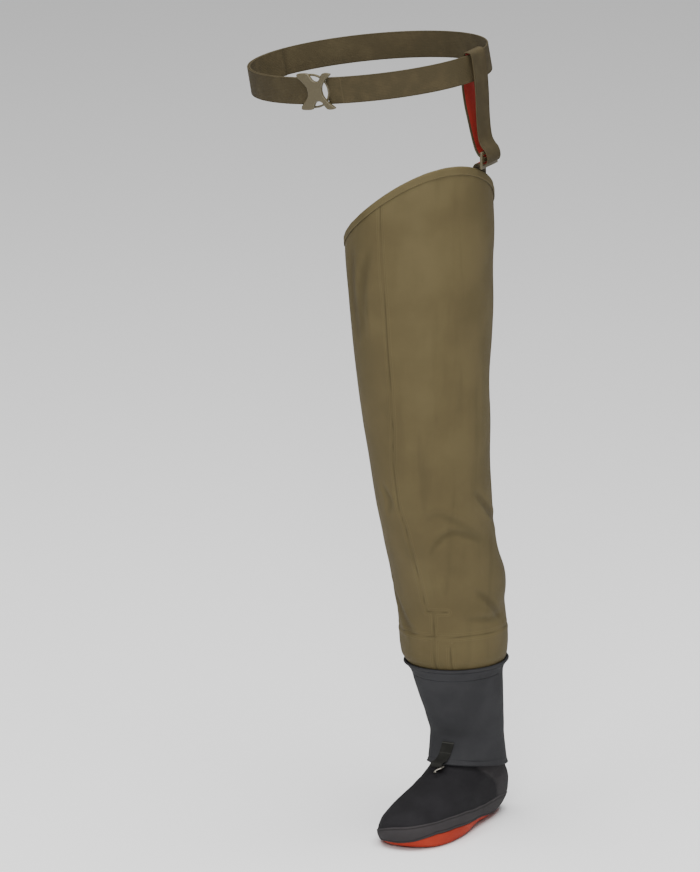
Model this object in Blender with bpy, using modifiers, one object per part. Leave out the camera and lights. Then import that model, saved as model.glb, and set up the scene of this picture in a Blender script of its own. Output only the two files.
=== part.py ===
"""A left stocking-foot hip wader with its gravel guard, suspender strap and waist belt.

Metres, +Z up. The origin is on the floor under the middle of the heel, the toe points to -Y
and the outer side of the leg is +X. Every size below is in millimetres.
"""

import bisect
import math

import bmesh
import bpy
import numpy as np
from mathutils import Matrix, Vector

MM = 0.001
GAP = 0.3  # between pieces that touch

# The foot in tilted slices, from the middle of the sole up to the hem of the guard.
# front y, front z, rear y, rear z, share of the floor's shape, centre x, corner power,
# then half-widths at the toe, ball, waist and heel on the outer side and on the inner side.
FOOT_ROWS = [
    (-200, 0, 0, 0, 1, 0, 0.85, (0, 0, 0, 0), (0, 0, 0, 0)),
    (-226, 0, 12, 0, 1, 0, 0.85, (34, 30, 20, 14), (37, 28, 21, 23)),
    (-239, 0, 20, 0, 1, 0, 0.84, (53, 43, 29, 21), (57, 43, 32, 35)),
    (-247, 4.5, 27, 4.5, 1, 0, 0.83, (60, 49.5, 36.5, 31), (65, 48.5, 36.5, 42)),
    (-252, 16, 34.5, 17, 1, 0, 0.83, (62, 53, 43, 42), (68, 51, 38.7, 48)),
    (-250, 31, 40.5, 33, 0.7, 0, 0.84, (58.5, 52, 44, 48.5), (63, 49.5, 38.5, 47.5)),
    (-234, 44.5, 42, 46, 0.4, 0, 0.86, (52, 49, 41, 47.5), (55.5, 48.5, 38, 45.5)),
    (-201, 56, 41, 53.5, 0.2, 0, 0.88, (46, 44, 38.5, 44), (50.5, 47.5, 39, 43)),
    (-166, 65, 39.2, 58.5, 0, -1, 0.9, (40, 40, 37, 41.5), (46.5, 46, 39.5, 41)),
    (-133, 74, 37.6, 61.5, 0, -2, 0.93, (37, 37, 36.5, 39.5), (45.5, 45.5, 40.5, 40)),
    (-106, 85.5, 36, 63.5, 0, -4, 0.96, (36.5, 37, 37.5, 39), (44, 44, 41.5, 39.5)),
]
HEM_ROW = len(FOOT_ROWS) - 1

# The leg above it in level slices: height, centre x, centre y, half-width, half-depth.
LEG_ROWS = [
    (120, -10, -28, 43.7, 53.7),
    (148, -10, -35, 46.7, 57.7),
    (182, -11, -45, 52.7, 61.7),
    (211, -12, -52, 57.2, 64.7),
    (220, -12.3, -53.5, 60.5, 67.7),
    (229, -12.8, -55.2, 66.2, 72.7),
    (239, -13.5, -58, 70.3, 76.8),
    (253, -14, -59, 72, 78.2),
    (296, -14.5, -64, 72.8, 78.3),
    (352, -15, -74, 77, 82),
    (409, -17, -95, 76, 82),
    (465, -20, -107, 79, 85),
    (522, -22, -115, 82, 87),
    (579, -25, -117, 87, 91.5),
    (635, -28, -120, 89.5, 95),
    (692, -31, -119, 94, 100),
    (748, -33, -119, 98, 103),
    (805, -35, -120, 100, 105),
    (860, -37, -118, 101, 106),
    (970, -38, -116, 101, 106),
]
LEG_HEIGHTS = [row[0] for row in LEG_ROWS]
ANKLE_ROWS = [HEM_ROW + up for up in (0.5, 1, 1.5, 2.2, 3, 3.8)]  # under the guard
LEG_VS = [HEM_ROW + 1 + i for i in range(len(LEG_ROWS))]

# Soft folds of the cloth leg: height, direction, half-height, half-angle, depth, lean.
# The direction is in degrees from the toe towards the outer side.
FOLDS = [
    (447, 172, 26, 34, -6.0, 0.0),
    (395, 140, 22, 24, -4.0, 0.5),
    (345, 178, 30, 40, 3.5, 0.0),
    (430, 40, 20, 30, -3.0, -0.7),
    (300, 95, 16, 40, -2.5, 0.5),
    (720, 285, 70, 9, -3.5, 0.0),
    (560, 60, 90, 14, -2.0, 0.1),
    (845, 105, 40, 26, 3.0, 0.0),
]

# Where one piece of the foot ends and the next starts: degrees from the toe, row.
SOLE_SEAM = [(0, 3.0), (17, 3.4), (41, 4.2), (62, 4.28), (86, 4.0), (110, 3.45),
             (140, 3.1), (165, 2.95), (200, 2.9), (332, 2.95), (360, 3.0)]
RAND_TOP = [(0, 4.8), (11, 4.95), (32, 5.25), (53, 5.42), (74, 5.36), (101, 4.8), (119, 5.0),
            (150, 4.6), (180, 4.3), (270, 3.8), (320, 4.0), (341, 4.4), (360, 4.8)]

COLUMNS = 36
FOOT_WALL = 4.0
RAND_WALL = 0.8
SHAFT_WALL = 1.4
GUARD_WALL = 3.0
BAND_STEP = 0.8  # the reinforced band at the foot of the shaft stands this proud
BAND_TOP = 276
SHAFT_FOOT = 213
GUARD_RIM = 229
HEM_OUTSIDE, HEM_INSIDE, HEM_CLOTH, HEM_CLEAR = 11, 14, 0.8, 0.45

FOREFOOT_FLAT = (-185, -125)
HEEL_FLAT = (-30, 18)
ARCH_OUTER, ARCH_INNER = 2.5, 8.0
TOE_SPRING = 6.0

WEBBING = 38.0
STRAP_THICK = 1.6
STRAP_Y = -118.0
BELT_THICK = 2.2
BELT_CENTRE = (-128.0, -95.5)
BELT_HALF = (183.0, 127.0)
BELT_TURN = math.radians(-7)
BELT_PIVOT = Vector((53.0, -118.0, 1086.5))  # where it hangs from the strap
BELT_LEAN = math.radians(9.6)  # from there it falls towards the other hip
BELT_PITCH = math.radians(1.75)  # and a little towards the front
BELT_TILT = Matrix.Rotation(BELT_PITCH, 4, "X") @ Matrix.Rotation(-BELT_LEAN, 4, "Y")
BELT_UP = BELT_TILT @ Vector((0, 0, 1))
BUCKLE_AT = 90.0
BELT_TAIL_END = 200.0
BUCKLE_TALL, BUCKLE_SLOT = 50.0, 39.2  # over all, and the slots for the webbing
SOCKET_DEEP, PRONG_DEEP = 9.5, 7.2

SLIDER_X = (70.0, 73.5)
SLIDER_Z, SLIDER_TALL, SLIDER_SLOTS = 947.0, 24.0, (("slider_low", 951.3), ("slider_high", 961.8))
LOCK_X = (52.6, 56.1)
LOCK_Z, LOCK_TALL, LOCK_SLOTS = 900.0, 22.0, (("lock_low", 903.5), ("lock_high", 912.5))
ANCHOR_X, ANCHOR_Z, ANCHOR_THICK = 59.5, (846, 896), 1.2
# x, z of the strap's middle, in the upright plane through the slider
STRAP_PATH = [
    (57.8, 856), (57.7, 900), (57.0, 932), (57.0, 945), (59.6, 951.3), (65, 952.9),
    (70, 952.7), (74, 952.7), (77.8, 954.5), (79.6, 959.5), (78.8, 966), (75.6, 972.4),
    (70.8, 977.6), (66.8, 985), (64.4, 998), (62.6, 1020), (61.6, 1045), (60.5, 1062),
    (59.3, 1075), (57.5, 1088), (55.5, 1100), (54.4, 1104.5), (52.2, 1107.5), (48.5, 1108.3),
    (45, 1107.8), (42.4, 1105), (41, 1098), (39.6, 1080), (40, 1060), (44, 1034),
    (49.4, 1012), (54.4, 992), (60, 974), (65.5, 965), (70, 963), (75, 963),
]
TAB_X, TAB_WIDTH, TAB_THICK = -7.0, 18.0, 1.5
# y, z of the tab on the front of the guard, then x, y, z of the wire hook
TAB_PATH = [
    (-90.3, 115.1), (-93.2, 110.1), (-96.3, 105), (-101.3, 99.9), (-106.8, 94.6),
    (-111, 93.2), (-115.5, 93.4), (-120, 93.6), (-123.8, 92.2), (-124.8, 89.2),
    (-122.2, 87.2), (-118.4, 87.8), (-115, 89.4),
]
HOOK_PATH = [
    (-17.5, -122.3, 89.9), (-7, -122.3, 89.9), (3, -122.3, 89.8), (4.6, -125, 89.5),
    (2.5, -129.2, 88.5), (-2.5, -131.8, 86.1), (-5.6, -131.8, 83.2), (-6.4, -128.8, 81.4),
    (-6.2, -126.2, 82.2),
]


def slope_at(xs, ys, i):
    """The curve's slope at a row: level where the rows turn back."""
    if i in (0, len(xs) - 1):
        j = min(i, len(xs) - 2)
        return (ys[j + 1] - ys[j]) / (xs[j + 1] - xs[j])
    before = (ys[i] - ys[i - 1]) / (xs[i] - xs[i - 1])
    after = (ys[i + 1] - ys[i]) / (xs[i + 1] - xs[i])
    return 2 * before * after / (before + after) if before * after > 0 else 0.0


def smooth_curve(xs, ys, x):
    """A smooth curve through the rows that never overshoots them."""
    i = min(max(bisect.bisect_right(xs, x) - 1, 0), len(xs) - 2)
    step = xs[i + 1] - xs[i]
    t = (x - xs[i]) / step
    return (
        ys[i] * (2 * t**3 - 3 * t**2 + 1) + ys[i + 1] * (3 * t**2 - 2 * t**3)
        + slope_at(xs, ys, i) * step * (t**3 - 2 * t**2 + t)
        + slope_at(xs, ys, i + 1) * step * (t**3 - t**2)
    )


def ease(low, high, value):
    t = min(max((value - low) / (high - low), 0.0), 1.0)
    return t * t * (3 - 2 * t)


def full_rows():
    """Every slice with the same eight-plus-seven numbers, foot and leg alike."""
    rows = []
    for yf, zf, yb, zb, floor, cx, power, outer, inner in FOOT_ROWS:
        rows.append([yf, zf, yb, zb, floor, cx, power, *outer, *inner])
    for z, cx, cy, rx, ry in LEG_ROWS:
        rows.append([cy - ry, z, cy + ry, z, 0, cx, 1, *(rx,) * 8])
    return rows


ROWS = full_rows()
ROW_NUMBERS = list(range(len(ROWS)))
ROW_COLUMNS = [list(column) for column in zip(*ROWS)]
ROW_AT = {}


def row_at(v):
    key = round(v, 6)
    if key not in ROW_AT:
        values = [smooth_curve(ROW_NUMBERS, column, v) for column in ROW_COLUMNS]
        if v >= HEM_ROW + 1:
            values[1] = values[3] = float(np.interp(v, LEG_VS, LEG_HEIGHTS))
        ROW_AT[key] = values
    return ROW_AT[key]


def floor_height(x, y):
    """The underside: two flat spots, an arch that is higher inside, and toe spring."""
    if y < FOREFOOT_FLAT[0]:
        return TOE_SPRING * ((FOREFOOT_FLAT[0] - y) / 65) ** 2
    if y > HEEL_FLAT[1]:
        return 3 * ((y - HEEL_FLAT[1]) / 14) ** 2
    if FOREFOOT_FLAT[1] < y < HEEL_FLAT[0]:
        t = (y - FOREFOOT_FLAT[1]) / (HEEL_FLAT[0] - FOREFOOT_FLAT[1])
        arch = ARCH_OUTER + (ARCH_INNER - ARCH_OUTER) * ease(20, -25, x) if x < 20 else ARCH_OUTER
        return arch * math.sin(math.pi * t) ** 2
    return 0.0


def fold_depth(degrees, z):
    total = 0.0
    for height, direction, half_z, half_a, depth, lean in FOLDS:
        turn = (degrees - direction + 180) % 360 - 180
        across = (z - height - lean * turn) / half_z
        total += depth * math.exp(-across**2 - (turn / half_a) ** 2)
    return total


def surface(v, degrees):
    """A point on the outside of the wader, in millimetres."""
    yf, zf, yb, zb, floor, cx, power, *widths = row_at(v)
    angle = math.radians(degrees)
    t = (1 - math.cos(angle)) / 2
    sine = math.sin(angle)
    side = widths[:4] if sine >= 0 else widths[4:]
    width = smooth_curve((0.12, 0.35, 0.6, 0.88), side, min(max(t, 0.12), 0.88))
    y = yf + (yb - yf) * t
    x = cx + math.copysign(width * abs(sine) ** power, sine)
    z = zf + (zb - zf) * t + floor * floor_height(x, y)
    if z > 250:
        push = fold_depth(degrees, z)
        x += push * sine
        y -= push * math.cos(angle)
    return np.array((x, y, z))


def normal(v, degrees):
    if v < 0.3:
        return np.array((0.0, 0.0, -1.0))
    top = len(ROWS) - 1
    up = surface(min(v + 0.02, top), degrees) - surface(max(v - 0.02, 0), degrees)
    round_it = surface(v, degrees + 1) - surface(v, degrees - 1)
    out = np.cross(round_it, up)
    size = np.linalg.norm(out)
    return out / size if size > 1e-9 else np.array((0.0, 0.0, -1.0))


def offset_point(v, degrees, out):
    return surface(v, degrees) + normal(v, degrees) * out


def v_of_height(z):
    return float(np.interp(z, LEG_HEIGHTS, LEG_VS))


RIM_ROWS = [v_of_height(z) for z in (SHAFT_FOOT, 217, 220, 224.5, GUARD_RIM)]


def top_height(degrees):
    """The open top dips towards the crotch and peaks outside, a little to the front."""
    angle = math.radians(degrees - 90 + 35)
    return 871 + 77 * math.cos(angle) + 6 * math.cos(2 * angle)


def around(table, degrees):
    return float(np.interp(degrees % 360, [row[0] for row in table], [row[1] for row in table]))


def collection(name):
    made = bpy.data.collections.new(name)
    bpy.context.scene.collection.children.link(made)
    return made


def material(name, colour, roughness, metallic=0.0):
    made = bpy.data.materials.get(name) or bpy.data.materials.new(name)
    made.use_nodes = True
    shader = made.node_tree.nodes["Principled BSDF"]
    shader.inputs["Base Color"].default_value = (*colour, 1)
    shader.inputs["Roughness"].default_value = roughness
    shader.inputs["Metallic"].default_value = metallic
    return made


CLOTH = ("olive_cloth", (0.16, 0.125, 0.055), 0.7)
NEOPRENE = ("charcoal_neoprene", (0.04, 0.04, 0.043), 0.85)
DARK_NEOPRENE = ("dark_neoprene", (0.022, 0.021, 0.023), 0.85)
RED = ("red_sole", (0.46, 0.05, 0.02), 0.7)
OLIVE_WEBBING = ("olive_webbing", (0.07, 0.06, 0.03), 0.8)
BLACK_WEBBING = ("black_webbing", (0.012, 0.012, 0.01), 0.8)
OLIVE_PLASTIC = ("olive_plastic", (0.15, 0.12, 0.055), 0.4)
BLACK_PLASTIC = ("black_plastic", (0.015, 0.015, 0.015), 0.4)
STEEL = ("bright_steel", (0.6, 0.6, 0.6), 0.3, 1.0)


def add_object(name, mesh, look, place=None):
    made = bpy.data.objects.new(name, mesh)
    (place or PARTS).objects.link(made)
    mesh.materials.append(material(f"{name}_{look[0]}", *look[1:]))
    return made


def mesh_of(name, points, faces, merge=0.0):
    mesh = bpy.data.meshes.new(name)
    mesh.from_pydata([tuple(np.asarray(p) * MM) for p in points], [], faces)
    work = bmesh.new()
    work.from_mesh(mesh)
    if merge:
        bmesh.ops.remove_doubles(work, verts=work.verts, dist=merge * MM)
        bmesh.ops.dissolve_degenerate(work, edges=work.edges, dist=1e-7)
    bmesh.ops.recalc_face_normals(work, faces=work.faces)
    work.to_mesh(mesh)
    work.free()
    return mesh


def smooth(made):
    for face in made.data.polygons:
        face.use_smooth = True
    return made


def grid_faces(rows, columns, start=0):
    return [
        (start + i * columns + j, start + i * columns + (j + 1) % columns,
         start + (i + 1) * columns + (j + 1) % columns, start + (i + 1) * columns + j)
        for i in range(rows - 1) for j in range(columns)
    ]


def shell(name, look, v_rows, outside, wall, closed_below=False):
    """A wall between two nested lofts. v_rows gives the rows at an angle, outside how far
    the outer face stands off the wader's surface there."""
    angles = [360 * j / COLUMNS for j in range(COLUMNS)]
    table = [v_rows(a) for a in angles]
    count = len(table[0])
    points = []
    for depth in (0.0, wall):
        for i in range(count):
            for j, angle in enumerate(angles):
                v = table[j][i]
                points.append(offset_point(v, angle, outside(v, angle) - depth))
    half = count * COLUMNS
    faces = grid_faces(count, COLUMNS) + grid_faces(count, COLUMNS, half)
    for i in (0, count - 1):
        if i == 0 and closed_below:
            continue
        for j in range(COLUMNS):
            k = (j + 1) % COLUMNS
            a = i * COLUMNS
            faces.append((a + j, a + k, half + a + k, half + a + j))
    mesh = mesh_of(name, points, faces, 0.02 if closed_below else 0.0)
    return smooth(add_object(name, mesh, look))


def spread(low, high, count):
    return [low + (high - low) * i / (count - 1) for i in range(count)]


def make_sole():
    def rows(angle):
        seam = around(SOLE_SEAM, angle) - 0.02
        return [0, 0.5, 1, 1.6, 2, *spread(2.4, seam, 4)]

    return shell("sole", RED, rows, lambda v, a: 0.0, FOOT_WALL, closed_below=True)


def rand_rows(angle):
    return spread(around(SOLE_SEAM, angle) + 0.02, around(RAND_TOP, angle), 4)


def make_foot():
    top = v_of_height(SHAFT_FOOT - GAP)

    def rows(angle):
        above = spread(around(RAND_TOP, angle), HEM_ROW, 8)
        return [*rand_rows(angle), *above[1:], *ANKLE_ROWS, v_of_height(211), top]

    return shell("foot", DARK_NEOPRENE, rows, lambda v, a: 0.0, FOOT_WALL)


def make_rand():
    return shell("rand", NEOPRENE, rand_rows, lambda v, a: GAP + RAND_WALL, RAND_WALL)


def make_shaft():
    def rows(angle):
        top = v_of_height(top_height(angle))
        step = v_of_height(BAND_TOP)
        return [*RIM_ROWS, *(v_of_height(z) for z in (239, 253, 264)), step, step + 0.02,
                *spread(step + 0.02, top, 19)[1:]]

    def outside(v, angle):
        return BAND_STEP if v <= v_of_height(BAND_TOP) + 1e-6 else 0.0

    return shell("shaft", CLOTH, rows, outside, SHAFT_WALL)


def guard_stand_off(v, angle):
    """The guard hugs the leg, flares at its rim and stands off a little at its free hem."""
    rim = v_of_height(GUARD_RIM)
    flare = 1.2 * ease(rim - 1.6, rim, v)
    hem = 1.8 * ease(HEM_ROW + 1.0, HEM_ROW, v)
    return GAP + BAND_STEP + flare + hem + GUARD_WALL


def make_guard():
    rows = [HEM_ROW, HEM_ROW + 0.15, *ANKLE_ROWS, v_of_height(211), *RIM_ROWS]
    return shell("gravel_guard", NEOPRENE, lambda a: rows, guard_stand_off, GUARD_WALL)


def make_hem():
    """The folded binding: a U of cloth over the top edge of the shaft."""
    thick, clear = HEM_CLOTH, HEM_CLEAR
    inner = SHAFT_WALL + clear
    section = [(clear, -HEM_OUTSIDE), (clear + thick, -HEM_OUTSIDE), (clear + thick, GAP + 0.4),
               (clear + 0.2, GAP + thick), (-inner + 0.2, GAP + thick),
               (-inner - thick, GAP + 0.2), (-inner - thick, -HEM_INSIDE),
               (-inner, -HEM_INSIDE), (-inner, GAP), (clear, GAP)]
    points, faces = [], []
    for j in range(COLUMNS):
        angle = 360 * j / COLUMNS
        for out, up in section:
            z = top_height(angle) + up
            point = offset_point(v_of_height(z), angle, out)
            point[2] = z
            points.append(point)
    n = len(section)
    for j in range(COLUMNS):
        k = (j + 1) % COLUMNS
        for i in range(n):
            m = (i + 1) % n
            faces.append((j * n + i, j * n + m, k * n + m, k * n + i))
    return smooth(add_object("top_binding", mesh_of("top_binding", points, faces), CLOTH))


def ribbon(name, look, path, width, thick, side=(0, 1, 0), closed=False):
    """Flat webbing along a path, its width along side."""
    path = [np.asarray(p, float) for p in path]
    side = np.asarray(side, float)
    count = len(path)
    points, faces = [], []
    for i, here in enumerate(path):
        before = path[i - 1] if closed or i else here
        after = path[(i + 1) % count] if closed or i < count - 1 else here
        along = after - before
        along /= np.linalg.norm(along)
        out = np.cross(along, side)
        out /= np.linalg.norm(out)
        for across, deep in ((-1, -1), (1, -1), (1, 1), (-1, 1)):
            points.append(here + side * across * width / 2 + out * deep * thick / 2)
    last = count if closed else count - 1
    for i in range(last):
        a, b = 4 * i, 4 * ((i + 1) % count)
        faces += [(a + k, a + (k + 1) % 4, b + (k + 1) % 4, b + k) for k in range(4)]
    if not closed:
        faces += [(0, 1, 2, 3), tuple(4 * (count - 1) + k for k in (3, 2, 1, 0))]
    return add_object(name, mesh_of(name, points, faces), look)


def rounded_path(corners, steps=4):
    """A smooth path through the corners."""
    corners = [np.asarray(c, float) for c in corners]
    ends = [corners[0] * 2 - corners[1], *corners, corners[-1] * 2 - corners[-2]]
    path = []
    for a, b, c, d in zip(ends, ends[1:], ends[2:], ends[3:]):
        for i in range(steps):
            t = i / steps
            path.append(0.5 * (2 * b + (c - a) * t + (2 * a - 5 * b + 4 * c - d) * t**2
                               + (3 * b - a - 3 * c + d) * t**3))
    return [*path, corners[-1]]


def block(name, look, size, place, bevel=0.0, hidden=False, spot=None):
    bpy.ops.mesh.primitive_cube_add(size=1)
    made = bpy.context.object
    made.name = made.data.name = name
    if spot is not None:
        made.matrix_world = spot
    for home in list(made.users_collection):
        home.objects.unlink(made)
    (CUTTERS if hidden else PARTS).objects.link(made)
    for vertex in made.data.vertices:
        vertex.co = [(c * s + p) * MM for c, s, p in zip(vertex.co, size, place)]
    if hidden:
        made.hide_render = True
        made.display_type = "WIRE"
    else:
        made.data.materials.append(material(f"{name}_{look[0]}", *look[1:]))
    if bevel:
        soft = made.modifiers.new("edges", "BEVEL")
        soft.width = bevel * MM
        soft.segments = 2
    return made


def combine(made, other, operation):
    step = made.modifiers.new(operation.lower(), "BOOLEAN")
    step.operation = operation
    step.solver = "EXACT"
    step.object = other
    return made


def cut(made, name, low, high):
    """Cuts the box between two corners, in the object's own axes."""
    return combine(made, box_between(name, None, low, high, hidden=True,
                                     spot=made.matrix_world), "DIFFERENCE")


def join(made, name, low, high, bevel=0.0):
    return combine(made, box_between(name, None, low, high, bevel=bevel, hidden=True,
                                     spot=made.matrix_world), "UNION")


def box_between(name, look, low, high, **rest):
    size = [b - a for a, b in zip(low, high)]
    return block(name, look, size, [(a + b) / 2 for a, b in zip(low, high)], **rest)


def belt_point(t, inward=0.0):
    """The belt's ring: t = 90 degrees is at the front, where the buckle sits."""
    angle = math.radians(t)
    local = np.array((BELT_HALF[0] * math.cos(angle), -BELT_HALF[1] * math.sin(angle)))
    slope = np.array((-BELT_HALF[0] * math.sin(angle), -BELT_HALF[1] * math.cos(angle)))
    out = np.array((-slope[1], slope[0])) / np.linalg.norm(slope)
    local = local - out * inward
    c, s = math.cos(BELT_TURN), math.sin(BELT_TURN)
    x = BELT_CENTRE[0] + c * local[0] - s * local[1] - BELT_PIVOT.x
    y = BELT_CENTRE[1] + s * local[0] + c * local[1] - BELT_PIVOT.y
    return np.array(BELT_PIVOT + BELT_TILT @ Vector((x, y, 0)))


def slotted(name, look, xs, half, low, tall, slots, slot_tall):
    """An upright plate across the strap, with slots for the webbing to pass."""
    plate = box_between(name, look, (xs[0], STRAP_Y - half, low),
                        (xs[1], STRAP_Y + half, low + tall), bevel=0.8)
    wide = WEBBING / 2 + 0.8
    for slot, z in slots:
        cut(plate, slot, (xs[0] - 5, STRAP_Y - wide, z), (xs[1] + 5, STRAP_Y + wide, z + slot_tall))


def make_strap():
    """The strap is sewn to a patch inside the top, comes out over the edge, goes through the
    slider, up outside the belt, over it, and back down to the slider."""
    anchor = [(ANCHOR_X, STRAP_Y, z) for z in ANCHOR_Z]
    ribbon("anchor_patch", BLACK_WEBBING, anchor, WEBBING, ANCHOR_THICK)
    slotted("strap_slider", OLIVE_PLASTIC, SLIDER_X, 23.5, SLIDER_Z, SLIDER_TALL, SLIDER_SLOTS, 4.9)
    slotted("ladder_lock", BLACK_PLASTIC, LOCK_X, 22.5, LOCK_Z, LOCK_TALL, LOCK_SLOTS, 5.4)
    path = [(x, STRAP_Y, z) for x, z in STRAP_PATH]
    ribbon("suspender_strap", OLIVE_WEBBING, rounded_path(path, 2), WEBBING, STRAP_THICK)


def make_belt():
    turns = spread(100.2, 439.8, 46)
    outer = [belt_point(t) for t in turns]
    inner = [belt_point(t, BELT_THICK + GAP) for t in turns if t < BELT_TAIL_END]
    ribbon("belt", OLIVE_WEBBING, outer, WEBBING, BELT_THICK, side=BELT_UP)
    ribbon("belt_tail", OLIVE_WEBBING, inner, WEBBING, BELT_THICK, side=BELT_UP)


def make_buckle():
    """A fastened side-release buckle. Its own x runs along the belt to the outer side."""
    middle = Vector(belt_point(BUCKLE_AT) * MM)
    spot = Matrix.Translation(middle) @ BELT_TILT @ Matrix.Rotation(BELT_TURN, 4, "Z")
    tall, slot = BUCKLE_TALL / 2, BUCKLE_SLOT / 2
    deep, flat, through = SOCKET_DEEP / 2, PRONG_DEEP / 2, SOCKET_DEEP
    socket = box_between("buckle_socket", OLIVE_PLASTIC, (2, -deep, -tall), (31, deep, tall),
                         bevel=1.6, spot=spot)
    cut(socket, "socket_hollow", (0, -3, -tall + 5), (23, 3, tall - 5))
    for side in (-1, 1):
        low, high = sorted((side * 14, side * (tall + 2)))
        cut(socket, f"socket_window_{side}", (9, -3, low), (17, 3, high))
    cut(socket, "socket_slot", (25.5, -through, -slot), (28.3, through, slot))
    prongs = box_between("buckle_prongs", OLIVE_PLASTIC, (-31, -flat, -tall), (1.6, flat, tall),
                         bevel=1.4, spot=spot)
    for name, low, high in (("prong_slot_a", -28.5, -25.5), ("prong_slot_b", -21.5, -18.5)):
        cut(prongs, name, (low, -through, -slot), (high, through, slot))
    join(prongs, "prong_guide", (0, -2.2, -3), (14, 2.2, 3))
    for side in (-1, 1):
        low, high = sorted((side * 9, side * 14))
        join(prongs, f"prong_arm_{side}", (0, -2.2, low), (15.6, 2.2, high))
        low, high = sorted((side * 12, side * (tall - 2.5)))
        join(prongs, f"prong_head_{side}", (10, -2.2, low), (16, 2.2, high))


def make_hook():
    """A webbing tab on the guard's front ends in a loop, which holds a bent-wire hook."""
    ribbon("guard_tab", BLACK_WEBBING, rounded_path([(TAB_X, y, z) for y, z in TAB_PATH], 3),
           TAB_WIDTH, TAB_THICK, side=(1, 0, 0))
    line = bpy.data.curves.new("lace_hook", "CURVE")
    line.dimensions = "3D"
    line.bevel_depth = 0.9 * MM
    line.bevel_resolution = 1
    line.use_fill_caps = True
    path = rounded_path(HOOK_PATH, 3)
    spline = line.splines.new("POLY")
    spline.points.add(len(path) - 1)
    for point, where in zip(spline.points, path):
        point.co = (*(where * MM), 1)
    add_object("lace_hook", line, STEEL)


PARTS = CUTTERS = None


def main():
    global PARTS, CUTTERS
    for old in list(bpy.data.objects):
        bpy.data.objects.remove(old)
    PARTS, CUTTERS = collection("hip_wader"), collection("cutters")
    make_sole()
    make_foot()
    make_rand()
    make_shaft()
    make_guard()
    make_hem()
    make_strap()
    make_belt()
    make_buckle()
    make_hook()


main()
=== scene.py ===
# %% [markdown]
# # A hip wader in cloth, neoprene and webbing
#
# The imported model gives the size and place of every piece. This script dresses it: each soft
# piece is rebuilt at full smoothness from the same measured slices, with its folds, seams and
# stitches, and every piece gets a procedural material. Lengths inside the shape functions are
# in millimetres, because a wader is measured that way; Blender gets metres at the end.

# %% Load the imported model
import math

import bpy
import numpy as np
from mathutils import Matrix, Vector


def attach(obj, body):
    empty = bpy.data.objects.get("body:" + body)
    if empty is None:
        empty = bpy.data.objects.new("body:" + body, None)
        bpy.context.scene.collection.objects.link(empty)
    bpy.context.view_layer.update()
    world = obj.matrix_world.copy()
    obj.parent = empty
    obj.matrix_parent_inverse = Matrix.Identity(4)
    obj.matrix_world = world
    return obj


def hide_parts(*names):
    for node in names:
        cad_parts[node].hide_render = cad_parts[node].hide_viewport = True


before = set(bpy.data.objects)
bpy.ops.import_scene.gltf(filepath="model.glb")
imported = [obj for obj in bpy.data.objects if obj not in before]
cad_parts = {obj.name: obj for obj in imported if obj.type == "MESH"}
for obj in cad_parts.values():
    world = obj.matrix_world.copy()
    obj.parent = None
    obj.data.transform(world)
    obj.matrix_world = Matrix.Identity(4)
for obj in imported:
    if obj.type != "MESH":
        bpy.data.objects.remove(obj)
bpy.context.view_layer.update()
MM = 0.001
print("packed nodes:", ", ".join(sorted(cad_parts)))

# %% [markdown]
# ## The camera
#
# The photograph was taken from far away with a long lens, so its parallel lines don't converge.
# A camera many metres away could copy that; an orthographic one gives the same picture from
# nearby. The wearer's left wader turns 28 degrees away from us and we look down on it by 14.5
# degrees. One millimetre covers 0.73 pixels. The heel's flat spot, which is the frame's origin,
# lies at pixel (483, 810) of 700 by 872.

# %% Camera
PHOTO = (700, 872)
HEEL_PIXEL = (483, 810)
AZIMUTH, ELEVATION = math.radians(28), math.radians(14.5)
PIXELS_PER_MM = 0.73
DISTANCE = 3.0
CLIP = (0.1, 40.0)


def make_camera():
    """Aims so that the origin falls on HEEL_PIXEL at the photograph's scale."""
    turn = Matrix.Rotation(AZIMUTH, 3, "Z") @ Matrix.Rotation(math.pi / 2 - ELEVATION, 3, "X")
    across = (PHOTO[0] / 2 - HEEL_PIXEL[0]) / PIXELS_PER_MM * MM
    above = (HEEL_PIXEL[1] - PHOTO[1] / 2) / PIXELS_PER_MM * MM
    lens = bpy.data.cameras.new("photo_camera")
    lens.type = "ORTHO"
    lens.ortho_scale = PHOTO[1] / PIXELS_PER_MM * MM
    lens.clip_start, lens.clip_end = CLIP
    made = bpy.data.objects.new("photo_camera", lens)
    bpy.context.scene.collection.objects.link(made)
    place = turn @ Vector((across, above, DISTANCE))
    made.matrix_world = Matrix.Translation(place) @ turn.to_4x4()
    bpy.context.scene.camera = made
    return made


camera = make_camera()
print(f"the frame is {camera.data.ortho_scale:.3f} m tall")

# %% [markdown]
# ## Light
#
# The light in the photograph comes from above and in front, and both sides of the leg fall off
# darker than its middle. A picture of a studio could give it, but two area lights and an even
# sky are easier to place: a wide one overhead, and a small one near the camera's direction.

# %% Light
def area_light(name, place, aim, size, watts):
    lamp = bpy.data.lights.new(name, "AREA")
    lamp.size = size
    lamp.energy = watts
    made = bpy.data.objects.new(name, lamp)
    made.location = place
    made.rotation_euler = (Vector(aim) - Vector(place)).to_track_quat("-Z", "Y").to_euler()
    bpy.context.scene.collection.objects.link(made)
    print(f"{name}: {watts} W, {size} m wide")


area_light("key", place=(1.7, -4.0, 1.9), aim=(0, -0.1, 0.5), size=1.2, watts=122)
area_light("overhead", place=(0.2, -0.6, 4.2), aim=(0, -0.1, 0), size=4.5, watts=370)

SKY_STRENGTH = 0.26
world = bpy.data.worlds.new("white room")
world.use_nodes = True
sky = world.node_tree.nodes["Background"]
sky.inputs["Color"].default_value = (1, 1, 1, 1)
sky.inputs["Strength"].default_value = SKY_STRENGTH
bpy.context.scene.world = world
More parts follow.
